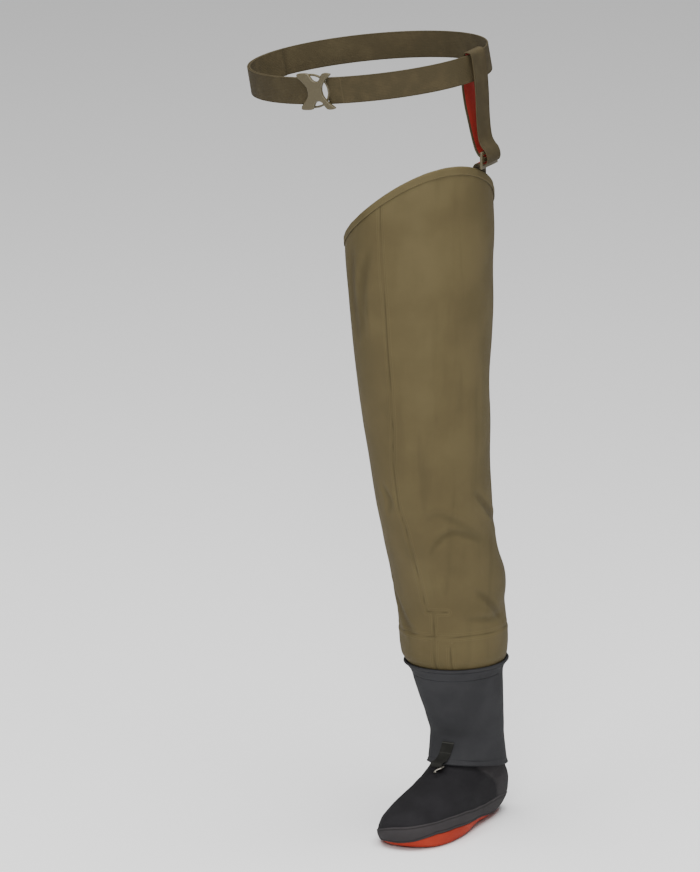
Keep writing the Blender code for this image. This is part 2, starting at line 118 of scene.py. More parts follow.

# %% [markdown]
# ## Floor
#
# The wader stands on white paper. A curved backdrop could stand behind it, but from above one
# large square fills the picture.

# %% Floor
FLOOR_HALF, PAPER_WHITE, PAPER_ROUGHNESS = 9, 0.9, 0.9
floor_mesh = bpy.data.meshes.new("floor")
corners = [(x * FLOOR_HALF, y * FLOOR_HALF, 0) for x, y in ((-1, -1), (1, -1), (1, 1), (-1, 1))]
floor_mesh.from_pydata(corners, [], [(0, 1, 2, 3)])
floor = bpy.data.objects.new("floor", floor_mesh)
bpy.context.scene.collection.objects.link(floor)
paper = bpy.data.materials.new("floor_paper")
paper.use_nodes = True
shader = paper.node_tree.nodes["Principled BSDF"]
shader.inputs["Base Color"].default_value = (PAPER_WHITE, PAPER_WHITE, PAPER_WHITE, 1)
shader.inputs["Roughness"].default_value = PAPER_ROUGHNESS
floor_mesh.materials.append(paper)
print("floor:", 2 * FLOOR_HALF, "m square")

# %% [markdown]
# ## Shader arithmetic
#
# Weave, knit and stitches are sums and products of simple waves. They could be wired by hand,
# but a node tree is easier to read as a sum than as a web of links. `Num` wraps one socket of a
# material, so `(along * 2).sin() * 0.5 + 0.5` builds the nodes that compute it.

# %% One way to make a node
TAU = 2 * math.pi


def feed(tree, slot, value):
    """Links a Num or a socket to the slot, or sets it, where a tuple is an opaque colour."""
    value = getattr(value, "socket", value)
    if isinstance(value, bpy.types.NodeSocket):
        tree.links.new(value, slot)
    else:
        slot.default_value = (*value, 1) if isinstance(value, tuple) else value


def add_node(tree, kind, settings, sockets):
    """A node of this kind: its settings first, then the value or link of each socket."""
    node = tree.nodes.new(kind)
    for key, value in settings.items():
        setattr(node, key, value)
    for key, value in sockets.items():
        feed(tree, node.inputs[key], value)
    return node


# %% Numbers in a material
class Num:
    def __init__(self, tree, socket):
        self.tree, self.socket = tree, socket

    def op(self, kind, *others):
        sockets = dict(enumerate((self, *others)))
        node = add_node(self.tree, "ShaderNodeMath", {"operation": kind}, sockets)
        return Num(self.tree, node.outputs[0])

    def __add__(self, other):
        return self.op("ADD", other)

    def __sub__(self, other):
        return self.op("SUBTRACT", other)

    def __mul__(self, other):
        return self.op("MULTIPLY", other)

    def __truediv__(self, other):
        return self.op("DIVIDE", other)

    def __rsub__(self, other):
        return self * -1.0 + other

    __radd__ = __add__
    __rmul__ = __mul__

    def sin(self):
        return self.op("SINE")

    def abs(self):
        return self.op("ABSOLUTE")

    def fract(self):
        return self.op("FRACT")

    def most(self, other):
        return self.op("MAXIMUM", other)

    def ramp(self, low, high):
        """0 below low, 1 above high, with a soft step between."""
        node = add_node(self.tree, "ShaderNodeMapRange", {"interpolation_type": "SMOOTHSTEP"},
                        {"Value": self, "From Min": low, "From Max": high})
        return Num(self.tree, node.outputs["Result"])

    def bump(self, centre, width):
        """1 on the line where this equals centre, 0 once width away."""
        return 1.0 - (self - centre).abs().ramp(0.0, width)


# %% [markdown]
# ## Materials
#
# A `Look` is one material: numbers that the mesh carries, noise, blended colours, and at the
# end the shader's own sockets. Pictures of cloth could be laid on instead, but these patterns
# stay sharp near by and follow the piece's own shape.

# %% Materials
MIX_SHARE, MIX_FIRST, MIX_SECOND, MIX_COLOUR = 0, 6, 7, 2


def tint(colour, by, plus=0.0):
    """The colour made darker or lighter."""
    return tuple(min(c * by + plus, 1) for c in colour)


class Look:
    def __init__(self, name, colour):
        self.material = bpy.data.materials.new(name)
        self.material.use_nodes = True
        self.tree = self.material.node_tree
        self.colour = colour

    def value(self, name):
        """A per-point number stored on the mesh."""
        node = add_node(self.tree, "ShaderNodeAttribute", {"attribute_name": name}, {})
        return Num(self.tree, node.outputs["Fac"])

    def noise(self, scale, detail=2.0, stretch=(1, 1, 1)):
        """Noise in object space, scale in lumps per millimetre."""
        where = add_node(self.tree, "ShaderNodeTexCoord", {}, {})
        mapping = add_node(self.tree, "ShaderNodeMapping", {},
                           {"Vector": where.outputs["Object"],
                            "Scale": [s * scale / MM for s in stretch]})
        noise = add_node(self.tree, "ShaderNodeTexNoise", {},
                         {"Vector": mapping.outputs["Vector"], "Scale": 1.0, "Detail": detail})
        return Num(self.tree, noise.outputs["Fac"])

    def paint(self, colour, share):
        """Lays a colour, a tuple or the socket of a blend, over what is there."""
        self.colour = self.blend(self.colour, colour, share)

    def blend(self, first, second, share):
        """A colour between two, each a tuple or the socket of an earlier blend."""
        node = add_node(self.tree, "ShaderNodeMix", {"data_type": "RGBA"},
                         {MIX_SHARE: share, MIX_FIRST: first, MIX_SECOND: second})
        return node.outputs[MIX_COLOUR]

    def finish(self, roughness, height, depth, metallic=0.0, shine=0.5):
        """depth is the height's full range in millimetres, shine the surface's own reflection."""
        bump = add_node(self.tree, "ShaderNodeBump", {},
                         {"Height": height, "Distance": depth * MM, "Strength": 1.0})
        sockets = {"Base Color": self.colour, "Roughness": roughness, "Metallic": metallic,
                   "Specular IOR Level": shine, "Normal": bump.outputs["Normal"]}
        for key, value in sockets.items():
            feed(self.tree, self.tree.nodes["Principled BSDF"].inputs[key], value)
        print(f"{self.material.name}: {len(self.tree.nodes)} nodes")
        return self.material


# %% [markdown]
# ## The wader's surface
#
# The whole outside, from the middle of the sole to the open top, is one function of two
# numbers: a row `v`, counted from the sole up, and a direction in degrees, from the toe round
# by the outer side. It could be sculpted by hand, but slices put every piece on one surface,
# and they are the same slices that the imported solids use. The foot's rows are tilted slices
# that fan out from the sole to the hem of the guard; the leg's are level ellipses.

# %% Slices of the foot and leg
# Each foot row: front y and z, rear y and z, share of the floor's shape, centre x, corner
# power, then half-widths at toe, ball, waist and heel, outer side first, inner side second.
FOOT_ROWS = [
    (-200, 0, 0, 0, 1, 0, 0.85, (0, 0, 0, 0), (0, 0, 0, 0)),
    (-226, 0, 12, 0, 1, 0, 0.85, (34, 30, 20, 14), (37, 28, 21, 23)),
    (-239, 0, 20, 0, 1, 0, 0.84, (53, 43, 29, 21), (57, 43, 32, 35)),
    (-247, 4.5, 27, 4.5, 1, 0, 0.83, (60, 49.5, 36.5, 31), (65, 48.5, 36.5, 42)),
    (-252, 16, 34.5, 17, 1, 0, 0.83, (62, 53, 43, 42), (68, 51, 38.7, 48)),
    (-250, 31, 40.5, 33, 0.7, 0, 0.84, (58.5, 52, 44, 48.5), (63, 49.5, 38.5, 47.5)),
    (-234, 44.5, 42, 46, 0.4, 0, 0.86, (52, 49, 41, 47.5), (55.5, 48.5, 38, 45.5)),
    (-201, 56, 41, 53.5, 0.2, 0, 0.88, (46, 44, 38.5, 44), (50.5, 47.5, 39, 43)),
    (-166, 65, 39.2, 58.5, 0, -1, 0.9, (40, 40, 37, 41.5), (46.5, 46, 39.5, 41)),
    (-133, 74, 37.6, 61.5, 0, -2, 0.93, (37, 37, 36.5, 39.5), (45.5, 45.5, 40.5, 40)),
    (-106, 85.5, 36, 63.5, 0, -4, 0.96, (36.5, 37, 37.5, 39), (44, 44, 41.5, 39.5)),
]
# Each leg row: height, centre x, centre y, half-width, half-depth.
LEG_ROWS = [
    (120, -10, -28, 43.7, 53.7), (148, -10, -35, 46.7, 57.7), (182, -11, -45, 52.7, 61.7),
    (211, -12, -52, 57.2, 64.7), (220, -12.3, -53.5, 60.5, 67.7),
    (229, -12.8, -55.2, 66.2, 72.7), (239, -13.5, -58, 70.3, 76.8), (253, -14, -59, 72, 78.2),
    (296, -14.5, -64, 72.8, 78.3), (352, -15, -74, 77, 82), (409, -17, -95, 76, 82),
    (465, -20, -107, 79, 85), (522, -22, -115, 82, 87), (579, -25, -117, 87, 91.5),
    (635, -28, -120, 89.5, 95), (692, -31, -119, 94, 100), (748, -33, -119, 98, 103),
    (805, -35, -120, 100, 105), (860, -37, -118, 101, 106), (970, -38, -116, 101, 106),
]
HEM_ROW = len(FOOT_ROWS) - 1
LEG_HEIGHTS = [row[0] for row in LEG_ROWS]
LEG_VS = [HEM_ROW + 1 + i for i in range(len(LEG_ROWS))]
STATIONS = (0.12, 0.35, 0.6, 0.88)
FOREFOOT_FLAT, HEEL_FLAT = (-185, -125), (-30, 18)
ARCH_OUTER, ARCH_INNER, TOE_SPRING = 2.5, 8.0, 6.0
TOE_RUN, HEEL_RISE, HEEL_RUN, ARCH_SIDES = 65, 3, 14, (20, -25)
print(len(FOOT_ROWS), "rows on the foot,", len(LEG_ROWS), "on the leg")

# %% [markdown]
# ## Broad folds
#
# The empty cloth bends in broad folds at the knee and thigh. Cloth simulation could find them,
# but never the same ones as in the photograph, so each is one soft hollow placed one by one.

# %% Broad folds
# As in the solids: height, direction, half-height, half-angle, depth, lean.
BROAD_FOLDS = [
    (447, 172, 26, 34, -6.0, 0.0), (395, 140, 22, 24, -4.0, 0.5), (345, 178, 30, 40, 3.5, 0.0),
    (430, 40, 20, 30, -3.0, -0.7), (300, 95, 16, 40, -2.5, 0.5), (720, 285, 70, 9, -3.5, 0.0),
    (560, 60, 90, 14, -2.0, 0.1), (845, 105, 40, 26, 3.0, 0.0),
]
FOLDS_FROM = 250
print(len(BROAD_FOLDS), "broad folds")

# %% [markdown]
# ## Smooth curves between the slices
#
# Straight lines between slices would show as facets, and an ordinary spline bulges past its
# points. This cubic takes the harmonic mean of the slopes on both sides and never overshoots.

# %% Smooth curves
def mean_slope(first, second):
    """The harmonic mean of two slopes, and 0 where the curve turns."""
    with np.errstate(divide="ignore", invalid="ignore"):
        mean = 2 * first * second / (first + second)
    return np.where(first * second > 0, mean, 0)


def cubic(before, after, slope_before, slope_after, run, t):
    return (before * (2 * t**3 - 3 * t**2 + 1) + after * (3 * t**2 - 2 * t**3)
            + slope_before * run * (t**3 - 2 * t**2 + t) + slope_after * run * (t**3 - t**2))


def smooth_curve(xs, columns, x):
    """A smooth curve through rows that never overshoots them, for many x at once."""
    xs = np.asarray(xs, float)
    ys = np.asarray(columns, float)
    step = np.diff(xs).reshape(-1, *[1] * (ys.ndim - 1))
    slope = np.diff(ys, axis=0) / step
    tangent = np.zeros_like(ys)
    tangent[1:-1] = mean_slope(slope[:-1], slope[1:])
    tangent[0], tangent[-1] = slope[0], slope[-1]
    x = np.asarray(x, float)
    i = np.clip(np.searchsorted(xs, x, "right") - 1, 0, len(xs) - 2)
    run = xs[i + 1] - xs[i]
    t = ((x - xs[i]) / run).reshape(*x.shape, *[1] * (ys.ndim - 1))
    return cubic(ys[i], ys[i + 1], tangent[i], tangent[i + 1], run.reshape(t.shape), t)


def ease(low, high, value):
    """0 at low, 1 at high, with a soft start and end."""
    t = np.clip((np.asarray(value, float) - low) / (high - low), 0, 1)
    return t * t * (3 - 2 * t)


def hump(distance, width):
    """1 at no distance, falling off like a bell."""
    return np.exp(-((distance / width) ** 2))


# %% Widths and the floor's shape
def all_rows():
    rows = [(yf, zf, yb, zb, floor, cx, power, *outer, *inner)
            for yf, zf, yb, zb, floor, cx, power, outer, inner in FOOT_ROWS]
    rows += [(cy - ry, z, cy + ry, z, 0, cx, 1, *(rx,) * 8) for z, cx, cy, rx, ry in LEG_ROWS]
    return np.array(rows, float)


ROWS = all_rows()


def floor_height(x, y):
    """The underside: toe spring, a rise at the heel's back, and the arch between the flats."""
    toe = TOE_SPRING * (np.clip(FOREFOOT_FLAT[0] - y, 0, None) / TOE_RUN) ** 2
    heel = HEEL_RISE * (np.clip(y - HEEL_FLAT[1], 0, None) / HEEL_RUN) ** 2
    share = np.clip((y - FOREFOOT_FLAT[1]) / (HEEL_FLAT[0] - FOREFOOT_FLAT[1]), 0, 1)
    arch = ARCH_OUTER + (ARCH_INNER - ARCH_OUTER) * ease(*ARCH_SIDES, x)
    return toe + heel + arch * np.sin(np.pi * share) ** 2


def width_at(side, t):
    """The half-width between the four stations, side holding one column per station."""
    t = np.clip(t, STATIONS[0], STATIONS[-1])
    step = np.diff(STATIONS)
    slope = np.diff(side, axis=-1) / step
    inner = mean_slope(slope[..., :-1], slope[..., 1:])
    tangent = np.concatenate([slope[..., :1], inner, slope[..., -1:]], axis=-1)
    out = np.zeros(t.shape)
    for i, start in enumerate(STATIONS[:-1]):
        here = (t >= start) & (t <= STATIONS[i + 1])
        value = cubic(side[..., i], side[..., i + 1], tangent[..., i], tangent[..., i + 1],
                      step[i], (t - start) / step[i])
        out = np.where(here, value, out)
    return out


# %% The surface
def turn_from(degrees, direction):
    return (degrees - direction + 180) % 360 - 180


def surface(v, degrees):
    """Points on the outside in millimetres, for arrays of rows and directions."""
    v, degrees = np.broadcast_arrays(np.asarray(v, float), np.asarray(degrees, float))
    row = smooth_curve(range(len(ROWS)), ROWS, v)
    level = np.interp(v, LEG_VS, LEG_HEIGHTS)
    on_leg = v >= HEM_ROW + 1
    yf, zf, yb, zb, floor, cx, power = (row[..., k] for k in range(7))
    zf, zb = np.where(on_leg, level, zf), np.where(on_leg, level, zb)
    angle = np.radians(degrees)
    t = (1 - np.cos(angle)) / 2
    sine = np.sin(angle)
    side = np.where((sine >= 0)[..., None], row[..., 7:11], row[..., 11:15])
    width = width_at(side, t)
    y = yf + (yb - yf) * t
    x = cx + np.sign(sine) * width * np.abs(sine) ** power
    z = zf + (zb - zf) * t + floor * floor_height(x, y)
    push = np.zeros_like(z)
    for height, direction, half_z, half_a, depth, lean in BROAD_FOLDS:
        turn = turn_from(degrees, direction)
        across = (z - height - lean * turn) / half_z
        push += depth * np.exp(-across**2 - (turn / half_a) ** 2)
    push = np.where(z > FOLDS_FROM, push, 0)
    return np.stack([x + push * sine, y - push * np.cos(angle), z], axis=-1)


def outward(v, degrees):
    """Unit normals of the surface."""
    top = len(ROWS) - 1
    up = surface(np.minimum(v + 0.02, top), degrees) - surface(np.maximum(v - 0.02, 0), degrees)
    turn = surface(v, degrees + 1) - surface(v, degrees - 1)
    out = np.cross(turn, up)
    size = np.linalg.norm(out, axis=-1, keepdims=True)
    out = np.where(size > 1e-9, out / np.maximum(size, 1e-9), (0, 0, -1))
    return np.where((np.asarray(v) < 0.3)[..., None], (0, 0, -1), out)


def v_of_height(z):
    return np.interp(z, LEG_HEIGHTS, LEG_VS)


TOP_MIDDLE, TOP_RISE, TOP_BULGE, TOP_PEAK = 871, 77, 6, 55


def top_height(degrees):
    """The open top dips at the crotch and peaks outside, a little to the front."""
    angle = np.radians(np.asarray(degrees, float) - TOP_PEAK)
    return TOP_MIDDLE + TOP_RISE * np.cos(angle) + TOP_BULGE * np.cos(2 * angle)


print("the surface runs from row 0 to row", len(ROWS) - 1)

# %% [markdown]
# ## From a grid of points to a piece
#
# A soft piece is a wall: an outer grid, an inner grid and rims between them. A Solidify
# modifier could thicken one grid, but here the two sides differ at hems and seams. Each point
# also carries numbers for the shaders, such as how far it is from a seam, so weave, stitches
# and seam shadows lie where the piece's own shape puts them.

# %% Building pieces
def grid_faces(rows, columns, start=0):
    """Quads of a grid that closes round on itself."""
    return [
        (start + i * columns + j, start + i * columns + (j + 1) % columns,
         start + (i + 1) * columns + (j + 1) % columns, start + (i + 1) * columns + j)
        for i in range(rows - 1) for j in range(columns)
    ]


def stand_for(mesh, node):
    """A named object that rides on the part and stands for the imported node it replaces."""
    made = bpy.data.objects.new(mesh.name, mesh)
    bpy.context.scene.collection.objects.link(made)
    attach(made, "root")
    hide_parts(node)
    print(f"{made.name}: {len(mesh.polygons)} faces")


def piece(name, points, faces, looks, node, values, slots=None):
    """A mesh of millimetre points, with its looks and its numbers for the shaders."""
    mesh = bpy.data.meshes.new(name)
    mesh.from_pydata(np.asarray(points, float) * MM, [], faces)
    for look in looks:
        mesh.materials.append(look)
    if slots is not None:
        mesh.polygons.foreach_set("material_index", np.asarray(slots, np.int32))
    mesh.polygons.foreach_set("use_smooth", np.ones(len(mesh.polygons), bool))
    for key, numbers in values.items():
        layer = mesh.attributes.new(key, "FLOAT", "POINT")
        layer.data.foreach_set("value", np.asarray(numbers, np.float32).ravel())
    stand_for(mesh, node)


def wall(name, outer, inner, looks, values, node, rims=(True, True)):
    """Outer and inner grids, closed by rims. The inner side takes the second look."""
    rows, columns = outer.shape[:2]
    half = rows * columns
    faces = grid_faces(rows, columns)
    slots = [0] * len(faces)
    inside = [tuple(reversed(face)) for face in grid_faces(rows, columns, half)]
    faces += inside
    slots += [len(looks) - 1] * len(inside)
    for wanted, i in zip(rims, (0, rows - 1)):
        if not wanted:
            continue
        for j in range(columns):
            k = (j + 1) % columns
            a = i * columns
            rim = (a + k, a + j, half + a + j, half + a + k)
            faces.append(rim if i == 0 else tuple(reversed(rim)))
            slots.append(0)
    points = np.concatenate([outer.reshape(-1, 3), inner.reshape(-1, 3)])
    both = {key: np.concatenate([np.ravel(number)] * 2) for key, number in values.items()}
    piece(name, points, faces, looks, node, both, slots)


def arc_lengths(grid):
    """Millimetres up each column and round each row of a grid of points."""
    up = np.linalg.norm(np.diff(grid, axis=0), axis=-1)
    up = np.concatenate([np.zeros((1, grid.shape[1])), np.cumsum(up, axis=0)])
    turn = np.linalg.norm(np.roll(grid, -1, axis=1) - grid, axis=-1)
    turn = np.concatenate([np.zeros((grid.shape[0], 1)), np.cumsum(turn, axis=1)[:, :-1]], axis=1)
    return up, turn


# %% [markdown]
# ## Seams and creases as paths on the wader
#
# A seam is a short list of (height or row, direction) pairs. It could be a curve shrink-wrapped
# to the mesh, but here every point of a grid measures its own distance to the nearest seam, and
# how far along the seam it is, which places the grooves and the stitches.

# %% Distances to paths
def path_distance(grid, path):
    """For each grid point: distance to the path of 3-D points, and the run along it."""
    flat = grid.reshape(-1, 3)
    best = np.full(len(flat), 1e9)
    run = np.zeros(len(flat))
    walked = 0.0
    for a, b in zip(path[:-1], path[1:]):
        leg = b - a
        length = np.linalg.norm(leg)
        t = np.clip(((flat - a) @ leg) / length**2, 0, 1)
        gap = np.linalg.norm(flat - (a + t[:, None] * leg), axis=1)
        nearer = gap < best
        best = np.where(nearer, gap, best)
        run = np.where(nearer, walked + t * length, run)
        walked += length
    return best.reshape(grid.shape[:2]), run.reshape(grid.shape[:2])


PATH_STEPS = 14


def wader_path(points, by_height):
    """(height or row, direction) pairs, made into a smooth 3-D path on the surface."""
    points = np.array(points, float)
    t = np.linspace(0, len(points) - 1, (len(points) - 1) * PATH_STEPS + 1)
    place, degrees = smooth_curve(range(len(points)), points, t).T
    return surface(v_of_height(place) if by_height else place, degrees)


def seam_numbers(grid, seams, by_height=True):
    """Each grid point's distance to the nearest seam, and the run along that seam."""
    nearest = np.full(grid.shape[:2], 1e3)
    nearest_run = np.zeros(grid.shape[:2])
    for points in seams:
        gap, run = path_distance(grid, wader_path(points, by_height))
        nearer = gap < nearest
        nearest = np.where(nearer, gap, nearest)
        nearest_run = np.where(nearer, run, nearest_run)
    return nearest, nearest_run


# %% [markdown]
# ## Olive laminated cloth
#
# The leg's cloth is a fine plain weave bonded to a membrane: matt, a little lighter on the
# crowns, with a faint slub and soft mottling, and with painted shade darkening its creases.
# Threads could be modelled one by one, but at this scale a bump does it. Seams show as a thin
# shadow with two rows of stitches beside it. Inside is a pale knitted lining, with tape over
# the seams.

# %% Cloth
WEAVE_PITCH, LINING_PITCH, TAPE_HALF = 0.9, 1.4, 10.0
STITCH_PITCH, STITCH_ROWS = 3.2, (3.2, 5.6)
OLIVE, OLIVE_LIGHT = (0.081, 0.063, 0.028), (0.1, 0.079, 0.036)
OLIVE_DARK = (0.046, 0.036, 0.016)


def plain_weave(look, pitch):
    """Height of a plain weave, from the along and round lengths, pitch in millimetres."""
    along, turn = look.value("along"), look.value("round")
    warp = (turn * (TAU / pitch)).sin()
    weft = (along * (TAU / pitch)).sin()
    return (warp * weft) * 0.5 + 0.5


def cloth_look():
    look = Look("olive_cloth", OLIVE)
    weave = plain_weave(look, WEAVE_PITCH)
    mottle = look.noise(0.012, 4)
    slub = look.noise(0.05, 3, stretch=(1, 1, 0.12))
    seam = look.value("seam")
    line = seam.bump(0.0, 1.3)
    dash = (look.value("seam_run") / STITCH_PITCH).fract().ramp(0.28, 0.36)
    stitch = seam.bump(STITCH_ROWS[0], 0.5).most(seam.bump(STITCH_ROWS[1], 0.5)) * dash
    look.paint(OLIVE_LIGHT, mottle.ramp(0.35, 0.7))
    look.paint(OLIVE_DARK, slub.ramp(0.5, 0.85) * 0.35)
    look.paint(OLIVE_DARK, (1.0 - weave) * 0.18)
    # painted shade: the cloth darkens with the depth of each crease's trough
    look.paint(OLIVE_DARK, look.value("crease").ramp(0.2, 1.6) * 0.45)
    look.paint(tint(OLIVE_DARK, 0.35), line * 0.5)
    look.paint(tint(OLIVE_LIGHT, 1.5), stitch * 0.45)
    height = weave * 0.35 + slub * 0.3 + stitch * 0.8 - line * 0.9
    return look.finish(weave * -0.08 + 0.78, height, 0.25, shine=0.15)


def lining_look():
    look = Look("lining_tricot", (0.56, 0.58, 0.61))
    weave = plain_weave(look, LINING_PITCH)
    tape = 1.0 - look.value("seam").ramp(TAPE_HALF, TAPE_HALF + 0.8)
    look.paint((0.66, 0.68, 0.71), look.noise(0.02, 3).ramp(0.3, 0.7))
    look.paint((0.42, 0.44, 0.47), tape * 0.8)
    return look.finish(0.72, weave * 0.5 + tape * 0.6, 0.2, shine=0.25)


cloth, lining = cloth_look(), lining_look()

# %% [markdown]
# ## The shaft
#
# The long front seam runs straight down the shin to a corner, steps outwards along a short
# cross seam and drops into the reinforced band over the ankle. Cloth simulation could make the
# creases, but never these ones, so they are listed: an arch over the knee dart, two folds
# where the knee bends at the back, a slanted fold down to the ankle and soft gathers inside the
# thigh.

# %% Shaft seams and creases
FRONT_SEAM = [(950, -2), (888, -2), (754, 0), (664, 0), (590, -2), (522, -6), (471, -6),
              (434, -2), (375, 0), (330, 2), (313, 4)]
CROSS_SEAM = [(313, 4), (313, 14), (313, 26)]
LOW_SEAM = [(313, 11), (270, 9.5), (222, 8)]
SHORT_SEAM = [(262, 27), (222, 26)]
BAND_SEAM = [(276, degrees) for degrees in range(-60, 301, 12)]
BACK_SEAM = [(900, 182), (760, 182), (560, 184), (440, 184), (313, 182), (222, 182)]
SEAMS = [FRONT_SEAM, CROSS_SEAM, LOW_SEAM, SHORT_SEAM, BAND_SEAM, BACK_SEAM]

# Height and direction pairs, then half-width and depth of the trough, in millimetres.
CREASES = [
    ([(392, 16), (410, 24), (427, 38), (431, 48), (424, 64), (408, 82)], 5.5, 1.6),
    ([(438, 12), (459, 32), (452, 46), (434, 66), (414, 88)], 6.5, 1.1),
    ([(486, 76), (466, 90), (440, 108), (426, 124)], 6.0, 2.4),
    ([(344, 56), (328, 70), (312, 82), (286, 104)], 6.0, 1.8),
    ([(345, -62), (318, -44), (290, -30), (270, -12)], 8.0, 2.0),
    ([(502, -26), (474, -17), (452, -23)], 5.5, 1.6),
    ([(846, -8), (800, -20), (752, -26), (700, -28)], 9.0, 1.8),
    ([(838, -36), (770, -38), (690, -36)], 9.0, 2.0),
    ([(300, 40), (297, 70), (292, 96)], 6.0, 1.2),
    ([(458, 150), (450, 176), (456, 204)], 9.0, 2.6),
    ([(415, 146), (404, 174), (412, 206)], 9.0, 2.0),
    ([(330, 140), (322, 170), (330, 200)], 8.0, 1.6),
    ([(480, 250), (462, 272), (470, 296)], 8.0, 1.8),
    ([(700, 250), (610, 262), (520, 256)], 10.0, 1.8),
    ([(790, 286), (690, 292), (600, 290)], 9.0, 1.6),
    ([(820, 120), (720, 126), (600, 122)], 12.0, 1.2),
]
SHAFT_WALL, BAND_STEP, BAND_TOP, SHAFT_FOOT, GUARD_RIM = 1.4, 0.8, 276, 213, 229
BESIDE, BESIDE_HALF, BESIDE_SHARE = 1.7, 0.7, 0.45


def crease_relief(grid):
    """Soft troughs with a low ridge on each side, and how deep each point lies in one."""
    relief = np.zeros(grid.shape[:2])
    depth_here = np.zeros(grid.shape[:2])
    for points, half, depth in CREASES:
        gap, run = path_distance(grid, wader_path(points, by_height=True))
        fade = np.sin(np.pi * np.clip(run / run.max(), 0.0, 1.0)) ** 0.6
        trough = hump(gap, half)
        relief += depth * fade * (BESIDE_SHARE * hump(gap / half - BESIDE, BESIDE_HALF) - trough)
        depth_here += depth * fade * trough
    return relief, depth_here


def cloth_ripple(grid, degrees):
    """The slight unevenness of a sewn cloth tube: long shallow waves, never the same twice."""
    z = grid[..., 2]
    a = np.radians(degrees)
    wide = 0.5 * np.sin(3 * a + z / 61) * np.sin(z / 83 + 1.3)
    return wide + 0.35 * np.sin(5 * a - z / 47 + 0.7) + 0.25 * np.sin(8 * a + z / 119 + 2.1)


print(len(SEAMS), "seams and", len(CREASES), "creases")

# %% [markdown]
# The grid is 2 to 3 mm up the leg and 2 to 4 mm round it. A finer one could carry the stitches
# as shape too, but they are half a millimetre wide and are left to the bump. The band's step is
# a smooth rise of 0.8 mm, and a seam is a groove with a ridge beside it.

# %% Shaft
SHAFT_ROWS, SHAFT_COLUMNS = 270, 176
RIDGE, RIDGE_AT, RIDGE_HALF, GROOVE, GROOVE_HALF = 0.45, 4.2, 3.0, 0.55, 1.1
CALM_FROM, CALM_TO, CALM_TOP = SHAFT_FOOT + 22, SHAFT_FOOT + 60, 24


def directions(columns):
    return np.arange(columns) * 360 / columns


def lay(v, columns):
    """Directions, points and outward normals of the surface, for a grid of rows."""
    turn = np.broadcast_to(directions(columns), (len(v), columns))
    return turn, surface(v, turn), outward(v, turn)


def make_shaft():
    top = top_height(directions(SHAFT_COLUMNS))
    z = SHAFT_FOOT + np.linspace(0, 1, SHAFT_ROWS)[:, None] * (top[None, :] - SHAFT_FOOT)
    turn, base, out = lay(v_of_height(z), SHAFT_COLUMNS)
    relief, crease = crease_relief(base)
    seam, run = seam_numbers(base, SEAMS)
    ridge = RIDGE * hump(seam - RIDGE_AT, RIDGE_HALF) - GROOVE * hump(seam, GROOVE_HALF)
    calm = ease(CALM_FROM, CALM_TO, z) * ease(0, CALM_TOP, top - z)
    move = BAND_STEP * ease(BAND_TOP + 0.8, BAND_TOP - 0.8, z)
    move = move + ridge * ease(GUARD_RIM, GUARD_RIM + 6, z) + calm * (
        relief + cloth_ripple(base, turn))
    outer = base + out * move[..., None]
    inner = base + out * (move - SHAFT_WALL)[..., None]
    along, across = arc_lengths(base)
    values = {"seam": seam, "seam_run": run, "crease": crease, "along": along, "round": across}
    wall("shaft_cloth", outer, inner, [cloth, lining], values, "shaft")


make_shaft()

# %% [markdown]
# ## Top binding
#
# The top edge is folded to the inside and stitched down: a band 11 mm tall outside and 14 mm
# inside, with a rounded edge and a row of stitches just above its lower side. A bevelled curve
# could run along the edge, but a profile that follows the surface keeps the fold flat on it.

# %% Top binding's cloth
HEM_OUTSIDE, HEM_INSIDE, FAR = 11.0, 14.0, 30.0
HEM_STITCH_PITCH, HEM_STITCH_AT = 3.0, 2.2


def binding_look():
    look = Look("olive_binding", OLIVE)
    weave = plain_weave(look, WEAVE_PITCH)
    across = look.value("across")
    dash = (look.value("run") / HEM_STITCH_PITCH).fract().ramp(0.3, 0.38)
    stitch = across.bump(HEM_STITCH_AT, 0.45) * dash
    look.paint(OLIVE_LIGHT, look.noise(0.012, 4).ramp(0.35, 0.7))
    look.paint(OLIVE_DARK, (1.0 - weave) * 0.2)
    # painted shadow: a dark line along the binding's lower edge, where it lies on the shaft
    look.paint(tint(OLIVE_DARK, 0.4), across.bump(0.0, 0.9) * 0.8)
    look.paint((0.2, 0.16, 0.08), stitch * 0.5)
    return look.finish(0.74, weave * 0.35 + stitch * 0.8, 0.25, shine=0.15)


# %% Top binding
BINDING_COLUMNS = 216
# Out from the surface and up from the open top, in a ring.
HEM_PROFILE = [
    (0.3, -HEM_OUTSIDE), (1.15, -HEM_OUTSIDE + 0.3), (1.3, -8.0), (1.25, -4.0), (1.3, -1.4),
    (1.1, 0.1), (0.5, 1.1), (-0.7, 1.5), (-1.9, 1.1), (-2.5, 0.1), (-2.65, -1.4), (-2.6, -6.0),
    (-2.6, -HEM_INSIDE + 0.3), (-1.8, -HEM_INSIDE), (-1.8, -6.0), (-1.7, 0.0), (-0.7, 0.3),
    (0.3, 0.0), (0.3, -6.0),
]


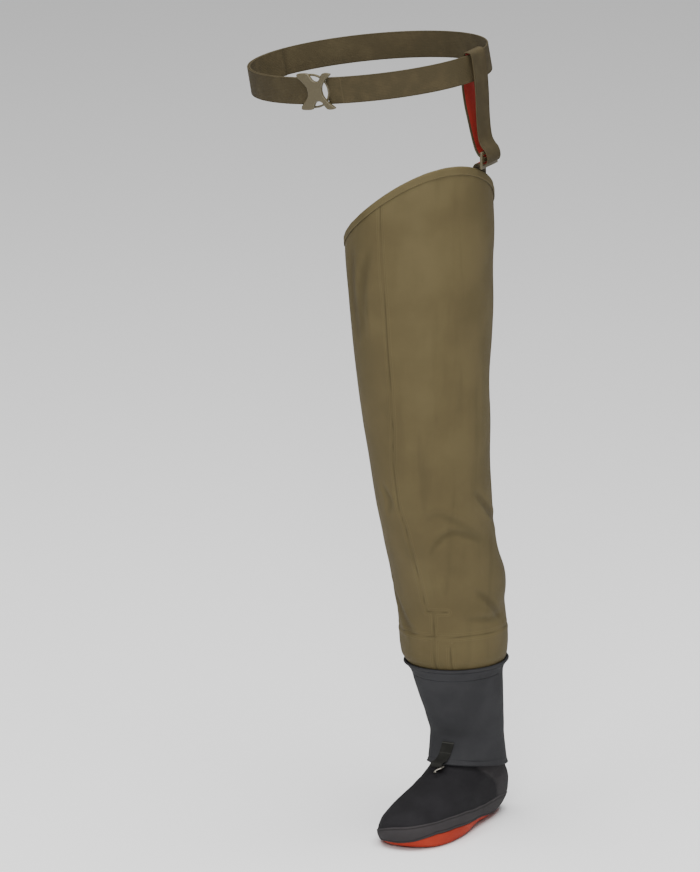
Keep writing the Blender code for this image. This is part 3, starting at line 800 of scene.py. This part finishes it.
def make_binding():
    degrees = directions(BINDING_COLUMNS)
    angle = np.radians(degrees)
    ripple = 0.35 * np.sin(angle * 23) * np.sin(angle * 5 + 1)
    rings, across = [], []
    for out, up in HEM_PROFILE:
        z = top_height(degrees) + up
        v = v_of_height(z)
        point = surface(v, degrees) + outward(v, degrees) * (out + ripple)[:, None]
        point[:, 2] = z
        rings.append(point)
        outside = min(up + HEM_OUTSIDE, FAR) if out > -1 else FAR
        across.append(np.full(BINDING_COLUMNS, outside))
    grid = np.stack([*rings, rings[0]])
    rows = len(HEM_PROFILE)
    count = rows * BINDING_COLUMNS
    faces = [tuple(k % count for k in face) for face in grid_faces(rows + 1, BINDING_COLUMNS)]
    grid = grid[:-1]
    run = np.cumsum(np.linalg.norm(np.roll(grid[0], -1, 0) - grid[0], axis=1))
    run = np.broadcast_to(run, grid.shape[:2])
    values = {"across": np.stack(across), "run": run, "along": grid[..., 2], "round": run}
    piece("top_binding_cloth", grid.reshape(-1, 3), faces, [binding_look()], "top_binding", values)


make_binding()

# %% [markdown]
# ## Neoprene
#
# Neoprene is foam between two knitted faces. The knit's columns of tiny loops run up the piece,
# and the surface is soft and dull, a bit lighter where it has been rubbed. Real loops would be
# millions of points, so the knit is a wave pattern in the bump. Panels meet edge to edge under
# the zigzag thread of a flat seam.

# %% Neoprene
GUARD_GREY, GUARD_LIGHT = (0.03, 0.03, 0.032), (0.042, 0.042, 0.045)
VAMP_DARK, VAMP_LIGHT = (0.012, 0.0112, 0.0124), (0.018, 0.017, 0.0187)
RAND_GREY, RAND_LIGHT = (0.036, 0.033, 0.034), (0.05, 0.046, 0.047)
SOLE_RED, SOLE_LIGHT = (0.32, 0.026, 0.011), (0.39, 0.04, 0.017)
KNIT_PITCH, ZIGZAG_PITCH, ZIGZAG_HALF = 1.1, 1.5, 3.0


def knit_height(look, pitch=KNIT_PITCH):
    """Columns of V-shaped loops, from the along and round lengths."""
    along, turn = look.value("along"), look.value("round")
    column = (turn * (TAU / pitch)).sin().abs()
    loops = ((along * (TAU / (pitch * 1.2))) + column * 1.6).sin() * 0.5 + 0.5
    return loops * 0.6 + column * 0.4


def flat_seam(seam, run):
    """The zigzag thread of a flat seam."""
    zig = ((run / ZIGZAG_PITCH).fract() * 2.0 - 1.0).abs() * ZIGZAG_HALF
    return (1.0 - (seam - zig).abs().ramp(0.25, 0.6)) * (
        1.0 - seam.ramp(ZIGZAG_HALF, ZIGZAG_HALF + 0.3))


def neoprene_look(name, shade, light, flatlock):
    look = Look(name, shade)
    knit = knit_height(look)
    mottle = look.noise(0.02, 4)
    fuzz = look.noise(0.9, 2)
    seam = look.value("seam")
    groove = seam.bump(0.0, 1.6)
    look.paint(light, mottle.ramp(0.35, 0.75) * 0.7)
    look.paint(tint(shade, 0.55), (1.0 - knit) * 0.35)
    look.paint(tint(light, 1.9), fuzz.ramp(0.62, 0.8) * 0.16)
    height = knit * 0.5 - groove * 0.6
    if flatlock:
        thread = flat_seam(seam, look.value("seam_run"))
        look.paint(tint(light, 1.6, 0.005), thread * 0.5)
        height = height + thread * 0.5
    # painted shade: the seam's groove is darkened
    look.paint(tint(shade, 0.3), groove * 0.6)
    return look.finish(0.86, height, 0.3, shine=0.12)


guard_look = neoprene_look("charcoal_neoprene", GUARD_GREY, GUARD_LIGHT, flatlock=False)
inner_look = neoprene_look("neoprene_reverse", GUARD_GREY, GUARD_LIGHT, flatlock=True)
rand_look = neoprene_look("rand_neoprene", RAND_GREY, RAND_LIGHT, flatlock=False)

# %% [markdown]
# ## Gravel guard
#
# The guard is a thick sleeve over the ankle. Its upper rim is sewn to the foot of the shaft and
# rolls out a little; its lower hem is free, turned up and stitched. It bunches slightly over
# the instep, where the tab pulls on it. A bevel could round the two ends, but here the wall's
# own thickness shrinks towards them, which also makes the lip.

# %% Gravel guard
GUARD_ROWS, GUARD_COLUMNS = 120, 168
ANKLE_STEP, GUARD_WALL, GUARD_ROUND = 0.3 + BAND_STEP, 3.0, 1.5
HEM_LINE, RIM_LINE = 9, 5
FLARE, HEM_TURN_UP, THINNEST = 1.2, 1.8, 0.35
BUNCH_HEIGHT, BUNCH_HALF, BUNCH_ANGLE, BUNCH_WAVE = 128, 22, 45, 5.2


def rounded(edge, radius):
    """0 at an edge, 1 from radius inwards, along a quarter of a circle."""
    return np.sqrt(np.clip(1 - (1 - edge.clip(0, radius) / radius) ** 2, 0, 1))


def make_guard():
    """Gives back the guard's front line, on which the tab lies."""
    rim = v_of_height(GUARD_RIM)
    v = np.linspace(HEM_ROW, rim, GUARD_ROWS)[:, None] + np.zeros(GUARD_COLUMNS)
    turn, base, out = lay(v, GUARD_COLUMNS)
    along, across = arc_lengths(base)
    to_rim = along[-1] - along
    angle, z = np.radians(turn), base[..., 2]
    inside = ANKLE_STEP + FLARE * ease(rim - 1.6, rim, v)
    inside = inside + HEM_TURN_UP * ease(HEM_ROW + 1.0, HEM_ROW, v)
    bunch = hump(turn_from(turn, 0), BUNCH_ANGLE) * hump(z - BUNCH_HEIGHT, BUNCH_HALF) * (
        0.9 * np.sin(z / BUNCH_WAVE + 0.4 * np.sin(angle * 3)))
    soft = 0.5 * np.sin(angle * 2 + z / 31) * ease(0, 30, along) * ease(0, 26, to_rim)
    lines = -0.5 * hump(along - HEM_LINE, 1.0) - 0.45 * hump(to_rim - RIM_LINE, 1.1)
    lip = 0.9 * hump(along, 3.0) + 0.7 * hump(to_rim, 2.4)
    outside = inside + GUARD_WALL + bunch + soft + lines + lip
    ends = rounded(np.minimum(along, to_rim), GUARD_ROUND)
    middle = (inside + outside) / 2
    outside = middle + (outside - middle) * (THINNEST + (1 - THINNEST) * ends)
    outer = base + out * outside[..., None]
    seam = np.minimum(np.abs(along - HEM_LINE), np.abs(to_rim - RIM_LINE))
    values = {"seam": seam, "seam_run": across, "along": along, "round": across}
    wall("guard_sleeve", outer, base + out * inside[..., None], [guard_look, inner_look], values,
         "gravel_guard")
    return outer[:, 0]


guard_front = make_guard()

# %% [markdown]
# ## The stocking foot
#
# The dark vamp, the heel panel and the rand meet in flat seams. The heel panel's front edge
# drops from the hem of the guard down to the rand on both sides. The panels could be separate
# pieces, but on the wader they lie flush, so one wall carries both colours and a number on each
# point says which panel it belongs to.

# %% Foot panels
SOLE_SEAM = [(0, 3.0), (17, 3.4), (41, 4.2), (62, 4.28), (86, 4.0), (110, 3.45), (140, 3.1),
             (165, 2.95), (200, 2.9), (332, 2.95), (360, 3.0)]
RAND_TOP = [(0, 4.8), (11, 4.95), (32, 5.25), (53, 5.42), (74, 5.36), (101, 4.8), (119, 5.0),
            (150, 4.6), (180, 4.3), (270, 3.8), (320, 4.0), (341, 4.4), (360, 4.8)]
HEEL_SEAMS = [[(10.0, 62), (9.4, 74), (8.6, 92), (7.6, 106), (6.5, 116), (5.0, 119)],
              [(10.0, 297), (9.4, 284), (8.6, 266), (7.6, 252), (6.2, 243), (4.4, 240)]]
HEEL_EDGE = 1.5


def around(table, degrees):
    columns = np.array(table, float).T
    return np.interp(np.asarray(degrees) % 360, columns[0], columns[1])


def heel_share(v, degrees):
    """1 on the heel panel, 0 on the vamp."""
    outer_edge, inner_edge = (np.array(seam, float).T for seam in HEEL_SEAMS)
    first = np.interp(-v, -outer_edge[0], outer_edge[1])
    second = np.interp(-v, -inner_edge[0], inner_edge[1])
    return (ease(-HEEL_EDGE, HEEL_EDGE, degrees - first)
            * ease(-HEEL_EDGE, HEEL_EDGE, second - degrees))


def foot_look():
    """The vamp's knit with the lighter heel panel laid over it."""
    look = Look("foot_neoprene", VAMP_DARK)
    knit = knit_height(look)
    mottle = look.noise(0.02, 4).ramp(0.35, 0.75)
    fuzz = look.noise(0.9, 2)
    seam = look.value("seam")
    groove = seam.bump(0.0, 1.5)
    thread = flat_seam(seam, look.value("seam_run"))
    look.paint(VAMP_LIGHT, mottle)
    panel = look.blend(RAND_GREY, RAND_LIGHT, mottle)
    look.paint(panel, look.value("heel") * 0.8)
    look.paint((0.008, 0.008, 0.009), (1.0 - knit) * 0.35)
    look.paint((0.05, 0.049, 0.052), fuzz.ramp(0.62, 0.8) * 0.16)
    look.paint((0.05, 0.048, 0.05), thread * 0.45)
    # painted shade: the seam's groove is darkened
    look.paint((0.006, 0.006, 0.006), groove * 0.6)
    return look.finish(0.86, knit * 0.5 + thread * 0.5 - groove * 0.6, 0.3, shine=0.12)


# %% Stocking foot
FOOT_GRID, FOOT_WALL, UNDER_RAND = (150, 176), 4.0, 0.02
INSTEP_Y, INSTEP_HALF, INSTEP_ANGLE = -118, 16, 60


def make_foot():
    rows, columns = FOOT_GRID
    low = around(SOLE_SEAM, directions(columns)) + UNDER_RAND
    v = low + np.linspace(0, 1, rows)[:, None] * (v_of_height(SHAFT_FOOT - 0.3) - low)
    turn, base, out = lay(v, columns)
    y = base[..., 1]
    seam, run = seam_numbers(base, HEEL_SEAMS, by_height=False)
    heel = heel_share(v, turn)
    wrinkle = hump(turn_from(turn, 0), INSTEP_ANGLE) * hump(y - INSTEP_Y, INSTEP_HALF) * (
        0.7 * np.sin(y / 5.0 + 0.5))
    soft = 0.45 * np.sin(np.radians(turn) * 3 + y / 26) * ease(5, 6.5, v)
    move = wrinkle + soft - 0.5 * hump(seam, 1.3) + 0.3 * heel
    move = move * ease(HEM_ROW + 0.2, HEM_ROW - 0.8, v)
    along, across = arc_lengths(base)
    values = {"seam": seam, "seam_run": run, "along": along, "round": across, "heel": heel}
    wall("stocking_foot", base + out * move[..., None], base - out * FOOT_WALL,
         [foot_look(), inner_look], values, "foot")


make_foot()

# %% [markdown]
# ## Rand
#
# The rand is a strip of neoprene round the foot, sewn over the vamp's lower edge with a row of
# stitches near each of its own edges. It could be a colour on the foot, but it stands proud and
# casts a line of shadow, so it is a thin wall laid on the same surface.

# %% Rand
RAND_GRID, RAND_LIFT, RAND_THICK, RAND_ROUND, RAND_LINE = (26, 208), 0.15, 1.15, 1.2, 3.2


def make_rand():
    rows, columns = RAND_GRID
    degrees = directions(columns)
    low, high = around(SOLE_SEAM, degrees) + UNDER_RAND, around(RAND_TOP, degrees)
    v = low + np.linspace(0, 1, rows)[:, None] * (high - low)
    _, base, out = lay(v, columns)
    along, across = arc_lengths(base)
    edge = np.minimum(along, along[-1] - along)
    thick = RAND_THICK * rounded(edge, RAND_ROUND) + 0.1 - 0.35 * hump(edge - RAND_LINE, 0.9)
    values = {"seam": np.abs(edge - RAND_LINE), "seam_run": across,
              "along": along, "round": across}
    wall("rand_strip", base + out * (RAND_LIFT + thick)[..., None], base + out * RAND_LIFT,
         [rand_look, rand_look], values, "rand")


make_rand()

# %% [markdown]
# ## Sole
#
# The red sole wraps up the outer side of the forefoot and thins to a line inside and round the
# heel. It could be cut from a slab, but it is the lowest rows of the same surface, so it meets
# the rand along one line. Scuffs show only on the underside.

# %% Sole
SOLE_GRID, SOLE_CROWD, NO_SEAM = (96, 176), 0.85, 99.0


def sole_look():
    look = Look("red_neoprene", SOLE_RED)
    knit = knit_height(look, 1.3)
    mottle = look.noise(0.02, 4)
    scuff = look.noise(0.06, 5).ramp(0.55, 0.8)
    look.paint(SOLE_LIGHT, mottle.ramp(0.3, 0.75))
    look.paint((0.2, 0.02, 0.01), (1.0 - knit) * 0.3)
    look.paint((0.16, 0.06, 0.045), scuff * look.value("under") * 0.5)
    return look.finish(0.8, knit * 0.5, 0.3, shine=0.2)


def make_sole():
    rows, columns = SOLE_GRID
    seam = around(SOLE_SEAM, directions(columns)) - UNDER_RAND
    v = np.linspace(0, 1, rows)[:, None] ** SOLE_CROWD * seam
    _, outer, out = lay(v, columns)
    along, across = arc_lengths(outer)
    values = {"along": along, "round": across, "under": ease(2.6, 2.0, v),
              "seam": np.full(v.shape, NO_SEAM), "seam_run": across}
    wall("sole_panel", outer, outer - out * FOOT_WALL, [sole_look(), inner_look], values, "sole",
         rims=(False, True))


make_sole()

# %% [markdown]
# ## Webbing
#
# Straps are flat woven bands with rounded edges. Along the band run the ribs of the weave; the
# strap's reverse is red between two olive edges. A plane with a curve modifier could do it, but
# a section swept along measured points also knows its own run, across and face, which place
# the ribs, the stitches and the red.

# %% Webbing's weave
OLIVE_WEB, OLIVE_WEB_LIGHT = (0.05, 0.039, 0.019), (0.074, 0.057, 0.028)
RED_WEB = (0.42, 0.03, 0.022)
BLACK_WEB, BLACK_WEB_LIGHT = (0.011, 0.011, 0.009), (0.024, 0.024, 0.021)
RIB_PITCH, ROW_PITCH, WEB_STITCH_PITCH = 1.5, 2.2, 2.4
RED_HALF, SELVEDGE_AT = 14.6, 17.2


def webbing_look(name, shade, light, reverse=None):
    look = Look(name, shade)
    along, across, face = look.value("along"), look.value("across"), look.value("face")
    ribs = (along * (TAU / RIB_PITCH)).sin() * 0.5 + 0.5
    rows = (across * (TAU / ROW_PITCH)).sin() * 0.5 + 0.5
    twill = ((along * 1.3 + across * 1.1) * (TAU / ROW_PITCH)).sin() * 0.5 + 0.5
    worn = look.noise(0.05, 4).ramp(0.4, 0.75)
    look.paint(light, worn * 0.6 + twill * 0.3)
    if reverse:
        middle = (1.0 - across.abs().ramp(RED_HALF, RED_HALF + 0.6)) * (1.0 - face)
        look.paint(look.blend(reverse, tint(reverse, 0.5), ribs * 0.4), middle)
    look.paint(tint(shade, 0.4), (1.0 - ribs * rows) * 0.35)
    look.paint(tint(shade, 0.5), across.abs().bump(SELVEDGE_AT, 0.5) * 0.5)
    dash = (along / WEB_STITCH_PITCH).fract().ramp(0.3, 0.4)
    stitch = look.value("stitch").bump(0.0, 1.2) * dash
    look.paint(tint(light, 2.2, 0.01), stitch * 0.75)
    height = ribs * rows * 0.6 + twill * 0.3 + stitch * 0.5
    return look.finish(0.78, height, 0.35, shine=0.15)


strap_look = webbing_look("strap_webbing", OLIVE_WEB, OLIVE_WEB_LIGHT, RED_WEB)
belt_look = webbing_look("belt_webbing", OLIVE_WEB, OLIVE_WEB_LIGHT)
black_look = webbing_look("black_webbing", BLACK_WEB, BLACK_WEB_LIGHT)


# %% Bands along a path
PATH_POINTS, BAND_ROUND, BAND_FLAT_POINTS = 6, 0.7, 16


def rounded_path(corners, steps):
    """A smooth path through the corners."""
    corners = [np.asarray(c, float) for c in corners]
    ends = [corners[0] * 2 - corners[1], *corners, corners[-1] * 2 - corners[-2]]
    path = []
    for a, b, c, d in zip(ends, ends[1:], ends[2:], ends[3:]):
        for i in range(steps):
            t = i / steps
            path.append(0.5 * (2 * b + (c - a) * t + (2 * a - 5 * b + 4 * c - d) * t**2
                               + (3 * b - a - 3 * c + d) * t**3))
    return np.array([*path, corners[-1]])


def band_ring(width, thick):
    """The band's section: points across it and out from it, all the way round."""
    w, h = width / 2, thick / 2
    flat = np.linspace(-w + 1.5, w - 1.5, BAND_FLAT_POINTS)
    across = np.array([-w, -w + 0.25, -w + BAND_ROUND, *flat, w - BAND_ROUND, w - 0.25, w])
    top = h * np.minimum(1.0, rounded(w - np.abs(across), BAND_ROUND) + 0.02)
    top = np.stack([across, top], axis=-1)
    return np.concatenate([top, (top * (1, -1))[-2:0:-1]])


def band(name, path, width, thick, look, node, side=(0, 1, 0), stitches=()):
    """Webbing along a path. face is 1 on the outer side; stitches are runs from the start."""
    path, side = np.asarray(path, float), np.asarray(side, float)
    along = np.gradient(path, axis=0)
    along /= np.linalg.norm(along, axis=1, keepdims=True)
    out = np.cross(along, side)
    out /= np.linalg.norm(out, axis=1, keepdims=True)
    run = np.concatenate([[0], np.cumsum(np.linalg.norm(np.diff(path, axis=0), axis=1))])
    ring = band_ring(width, thick)
    columns = len(ring)
    points = path[:, None] + side * ring[None, :, :1] + out[:, None] * ring[None, :, 1:]
    faces = grid_faces(len(path), columns)
    faces.append(tuple(reversed(range(columns))))
    faces.append(tuple((len(path) - 1) * columns + k for k in range(columns)))
    gap = np.full(len(path), NO_SEAM)
    for place in stitches:
        gap = np.minimum(gap, np.abs(run - (place if place > 0 else run[-1] + place)))
    values = {"along": run[:, None], "face": (ring[:, 1] > 0).astype(float),
              "across": ring[:, 0], "stitch": gap[:, None]}
    values = {key: np.broadcast_to(number, points.shape[:2]) for key, number in values.items()}
    piece(name, points.reshape(-1, 3), faces, [look], node, values)


# %% [markdown]
# ## Suspender strap and its anchor
#
# The strap leaves the ladder lock at the wader's top, goes up, over the belt and back down to
# the slider, and the anchor patch inside the top holds the lock. The strap could be draped over
# the belt by simulation, but its path is short and its clearances to the belt were worked out
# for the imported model, so the same points are swept here.

# %% Strap and anchor
WEBBING, STRAP_THICK, ANCHOR_THICK, STRAP_Y = 38.0, 1.6, 1.2, -118.0
STRAP_PATH = [
    (57.8, 856), (57.7, 900), (57.0, 932), (57.0, 945), (59.6, 951.3), (65, 952.9),
    (70, 952.7), (74, 952.7), (77.8, 954.5), (79.6, 959.5), (78.8, 966), (75.6, 972.4),
    (70.8, 977.6), (66.8, 985), (64.4, 998), (62.6, 1020), (61.6, 1045), (60.5, 1062),
    (59.3, 1075), (57.5, 1088), (55.5, 1100), (54.4, 1104.5), (52.2, 1107.5), (48.5, 1108.3),
    (45, 1107.8), (42.4, 1105), (41, 1098), (39.6, 1080), (40, 1060), (44, 1034),
    (49.4, 1012), (54.4, 992), (60, 974), (65.5, 965), (70, 963), (75, 963),
]
band("strap_web", rounded_path([(x, STRAP_Y, z) for x, z in STRAP_PATH], PATH_POINTS), WEBBING,
     STRAP_THICK, strap_look, "suspender_strap", side=(0, -1, 0), stitches=(4, 30, 34))
band("anchor_web", [(59.5, STRAP_Y, z) for z in np.linspace(846, 896, 26)], WEBBING,
     ANCHOR_THICK, black_look, "anchor_patch", stitches=(3, 20, 30, 47))

# %% [markdown]
# ## Waist belt
#
# The belt is one ring, 366 by 254 mm, turned 7 degrees from the foot. It hangs from the strap,
# so it leans 10 degrees down towards the other hip. Its free end runs back inside from the
# buckle. A circle could be scaled and turned, but a formula also gives the places on it where
# the buckle and the strap sit.

# %% Belt
BELT_CENTRE, BELT_HALF = np.array((-128.0, -95.5)), (183.0, 127.0)
BELT_PIVOT = np.array((53.0, -118.0, 1086.5))
BELT_PITCH, BELT_LEAN, BELT_TURN = math.radians(1.75), math.radians(9.6), math.radians(-7)
BELT_TILT = Matrix.Rotation(BELT_PITCH, 3, "X") @ Matrix.Rotation(-BELT_LEAN, 3, "Y")
BELT_DOWN = np.array(BELT_TILT @ Vector((0, 0, -1)))
BELT_THICK, TAIL_INWARD = 2.2, 2.5


def belt_points(turns, inward=0.0):
    """Points of the ring, for turns in degrees from the strap's side round by the front."""
    a = np.radians(turns)
    local = np.stack([BELT_HALF[0] * np.cos(a), -BELT_HALF[1] * np.sin(a)], axis=-1)
    slope = np.stack([-BELT_HALF[0] * np.sin(a), -BELT_HALF[1] * np.cos(a)], axis=-1)
    out = np.stack([-slope[:, 1], slope[:, 0]], axis=-1)
    local = local - out / np.linalg.norm(out, axis=1, keepdims=True) * inward
    c, s = math.cos(BELT_TURN), math.sin(BELT_TURN)
    flat = local @ np.array([(c, s), (-s, c)]) + BELT_CENTRE - BELT_PIVOT[:2]
    return BELT_PIVOT + flat @ np.array(BELT_TILT)[:, :2].T


band("belt_web", belt_points(np.linspace(94.5, 444.2, 250)), WEBBING, BELT_THICK, belt_look,
     "belt", side=BELT_DOWN, stitches=(-22,))
band("belt_tail_web", belt_points(np.linspace(100.7, 198, 70), TAIL_INWARD), WEBBING,
     BELT_THICK, belt_look, "belt_tail", side=BELT_DOWN, stitches=(4,))

# %% [markdown]
# ## The tab on the guard
#
# A piece of black webbing is sewn to the front of the guard and ends in a loop over the hem.
# The wire hook that grips a boot's lace swings in the loop. The tab could be shrink-wrapped to
# the guard, but the guard's own front line is at hand, so it is laid along that.

# %% Guard tab
TAB_X, TAB_WIDTH, TAB_THICK, TAB_PROUD, TAB_HEIGHTS = -7.0, 18.0, 1.5, 1.1, (95.5, 115.5)
TAB_LOOP = [(-111.2, 94.1), (-115.5, 93.9), (-120, 93.8), (-123.8, 92.2), (-124.8, 89.2),
            (-122.2, 87.2), (-118.4, 87.8), (-115, 89.4)]


def make_tab():
    """The patch lies on the guard's own front."""
    z = guard_front[:, 2]
    front = guard_front[(z > TAB_HEIGHTS[0]) & (z < TAB_HEIGHTS[1])][::-1]
    slope = np.gradient(front, axis=0)
    slope /= np.linalg.norm(slope, axis=1, keepdims=True)
    out = np.stack([0 * slope[:, 0], slope[:, 2], -slope[:, 1]], axis=-1)
    patch = (front + out * TAB_PROUD)[:: max(1, len(front) // 6)]
    corners = [(TAB_X, y, z) for y, z in [*patch[:, 1:], *TAB_LOOP]]
    print("tab starts at", np.round(corners[0], 1))
    band("tab_web", rounded_path(corners, PATH_POINTS), TAB_WIDTH, TAB_THICK, black_look,
         "guard_tab", side=(-1, 0, 0), stitches=(1.6, 17))


make_tab()

# %% [markdown]
# ## Plastic and steel
#
# The slider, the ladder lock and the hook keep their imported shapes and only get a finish:
# moulded nylon with a fine spark-eroded grain, and dulled drawn wire. They could be redrawn
# with rounder edges, but they are a few pixels large in the photograph.

# %% Plastic and steel
def plastic_look(name, colour, light, roughness):
    look = Look(name, colour)
    grain = look.noise(2.5, 3)
    worn = look.noise(0.08, 4).ramp(0.5, 0.8)
    look.paint(light, worn * 0.5 + grain.ramp(0.4, 0.8) * 0.25)
    return look.finish(worn * -0.08 + roughness, grain, 0.05)


def steel_look():
    look = Look("dull_wire", (0.3, 0.28, 0.24))
    drawn = look.noise(1.2, 3, stretch=(0.2, 1, 1))
    look.paint((0.42, 0.39, 0.34), drawn.ramp(0.3, 0.7))
    return look.finish(drawn * 0.12 + 0.35, drawn, 0.02, metallic=1.0)


def finish_node(node, material):
    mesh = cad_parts[node].data
    mesh.materials.clear()
    mesh.materials.append(material)


olive_plastic = plastic_look("olive_nylon", (0.066, 0.053, 0.025), (0.098, 0.08, 0.04), 0.5)
black_plastic = plastic_look("black_nylon", (0.012, 0.012, 0.012), (0.022, 0.022, 0.023), 0.4)
finish_node("strap_slider", olive_plastic)
finish_node("ladder_lock", black_plastic)
finish_node("lace_hook", steel_look())

# %% [markdown]
# ## The waist buckle
#
# A side-release buckle, fastened. The front piece is an X with a waist, its four legs reaching
# over the webbing. Behind it a thin frame holds the belt: two rails and a bowed crossbar on the
# outer side. Both are moulded plates of even thickness, so instead of a mesh modelled point by
# point each is a filled outline, u along the belt and w across it, that a curve's extrusion
# thickens and its bevel rounds.

# %% Buckle outlines
BUCKLE_AT = 90.0
CROSS_HALF = [(-12.5, 0), (-13.5, 6), (-17, 11), (-22.5, 16.5), (-26.5, 20.5), (-27, 24.5),
              (-22, 25.8), (-12, 25.8), (-8, 24.4), (-5.5, 20.5), (-2, 16), (2.5, 14), (7.5, 15),
              (11, 18.5), (13.5, 22.6), (17.5, 25.6), (25.5, 25.6), (29.5, 24), (27, 21.4),
              (20.5, 16.8), (15.4, 11.6), (12, 6), (10.8, 0)]
FRAME_OUTSIDE = [(-14, 24.2), (-6, 24.2), (3, 22.8), (11, 19.4), (17, 13.4), (20.6, 6), (21.4, 0)]
FRAME_INSIDE = [(18.6, 0), (17.8, 5.4), (14.6, 11.6), (9.2, 17), (2, 20.2), (-6, 21.4),
                (-14, 21.6)]
OUTLINE_STEPS, ON_AXIS = 4, 0.01


def softened(half):
    """The half outline with its corners rounded by a smooth path."""
    return [tuple(p) for p in rounded_path(half, OUTLINE_STEPS)]


def mirrored(half):
    """A half outline and its mirror image below the belt's middle line."""
    return [*half, *[(u, -w) for u, w in reversed(half) if w > ON_AXIS]]


def frame_outline():
    """The outer side down and the inner side back up: a C, whose open end the cross covers."""
    outside, inside = softened(FRAME_OUTSIDE), softened(FRAME_INSIDE)
    return [*outside, *[(u, -w) for u, w in reversed(outside[:-1])],
            *[(u, -w) for u, w in reversed(inside[1:])], *inside]


# %% Buckle plates
PLATE_BEVEL_STEPS, FLAT_FACE = 3, 0.98


def plate(name, outline, thick, edge, spot, node):
    """A flat outline made as thick as the plastic, with rounded edges."""
    drawing = bpy.data.curves.new(name, "CURVE")
    drawing.dimensions, drawing.fill_mode = "2D", "BOTH"
    drawing.extrude = (thick / 2 - edge) * MM
    drawing.bevel_depth, drawing.bevel_resolution = edge * MM, PLATE_BEVEL_STEPS
    drawing.offset = -edge * MM
    line = drawing.splines.new("POLY")
    line.points.add(len(outline) - 1)
    for point, (u, w) in zip(line.points, outline):
        point.co = (u * MM, w * MM, 0, 1)
    line.use_cyclic_u = True
    holder = bpy.data.objects.new(name + "_drawing", drawing)
    mesh = bpy.data.meshes.new_from_object(holder)
    bpy.data.objects.remove(holder)
    bpy.data.curves.remove(drawing)
    mesh.transform(spot)
    mesh.name = name
    for face in mesh.polygons:
        face.use_smooth = abs(face.normal @ spot.col[2].xyz) < FLAT_FACE
    mesh.materials.clear()
    mesh.materials.append(olive_plastic)
    stand_for(mesh, node)


def make_buckle():
    middle = Vector(belt_points(np.array([BUCKLE_AT]))[0] * MM)
    place = Matrix.Translation(middle) @ BELT_TILT.to_4x4() @ Matrix.Rotation(BELT_TURN, 4, "Z")
    flat = Matrix.Rotation(math.radians(90), 4, "X")
    before = place @ Matrix.Translation((0, -2.6 * MM, 0)) @ flat
    behind = place @ Matrix.Translation((0, 1.0 * MM, 0)) @ flat
    plate("buckle_cross", mirrored(softened(CROSS_HALF)), 5.0, 1.3, before, "buckle_prongs")
    plate("buckle_frame", frame_outline(), 3.4, 0.9, behind, "buckle_socket")


make_buckle()
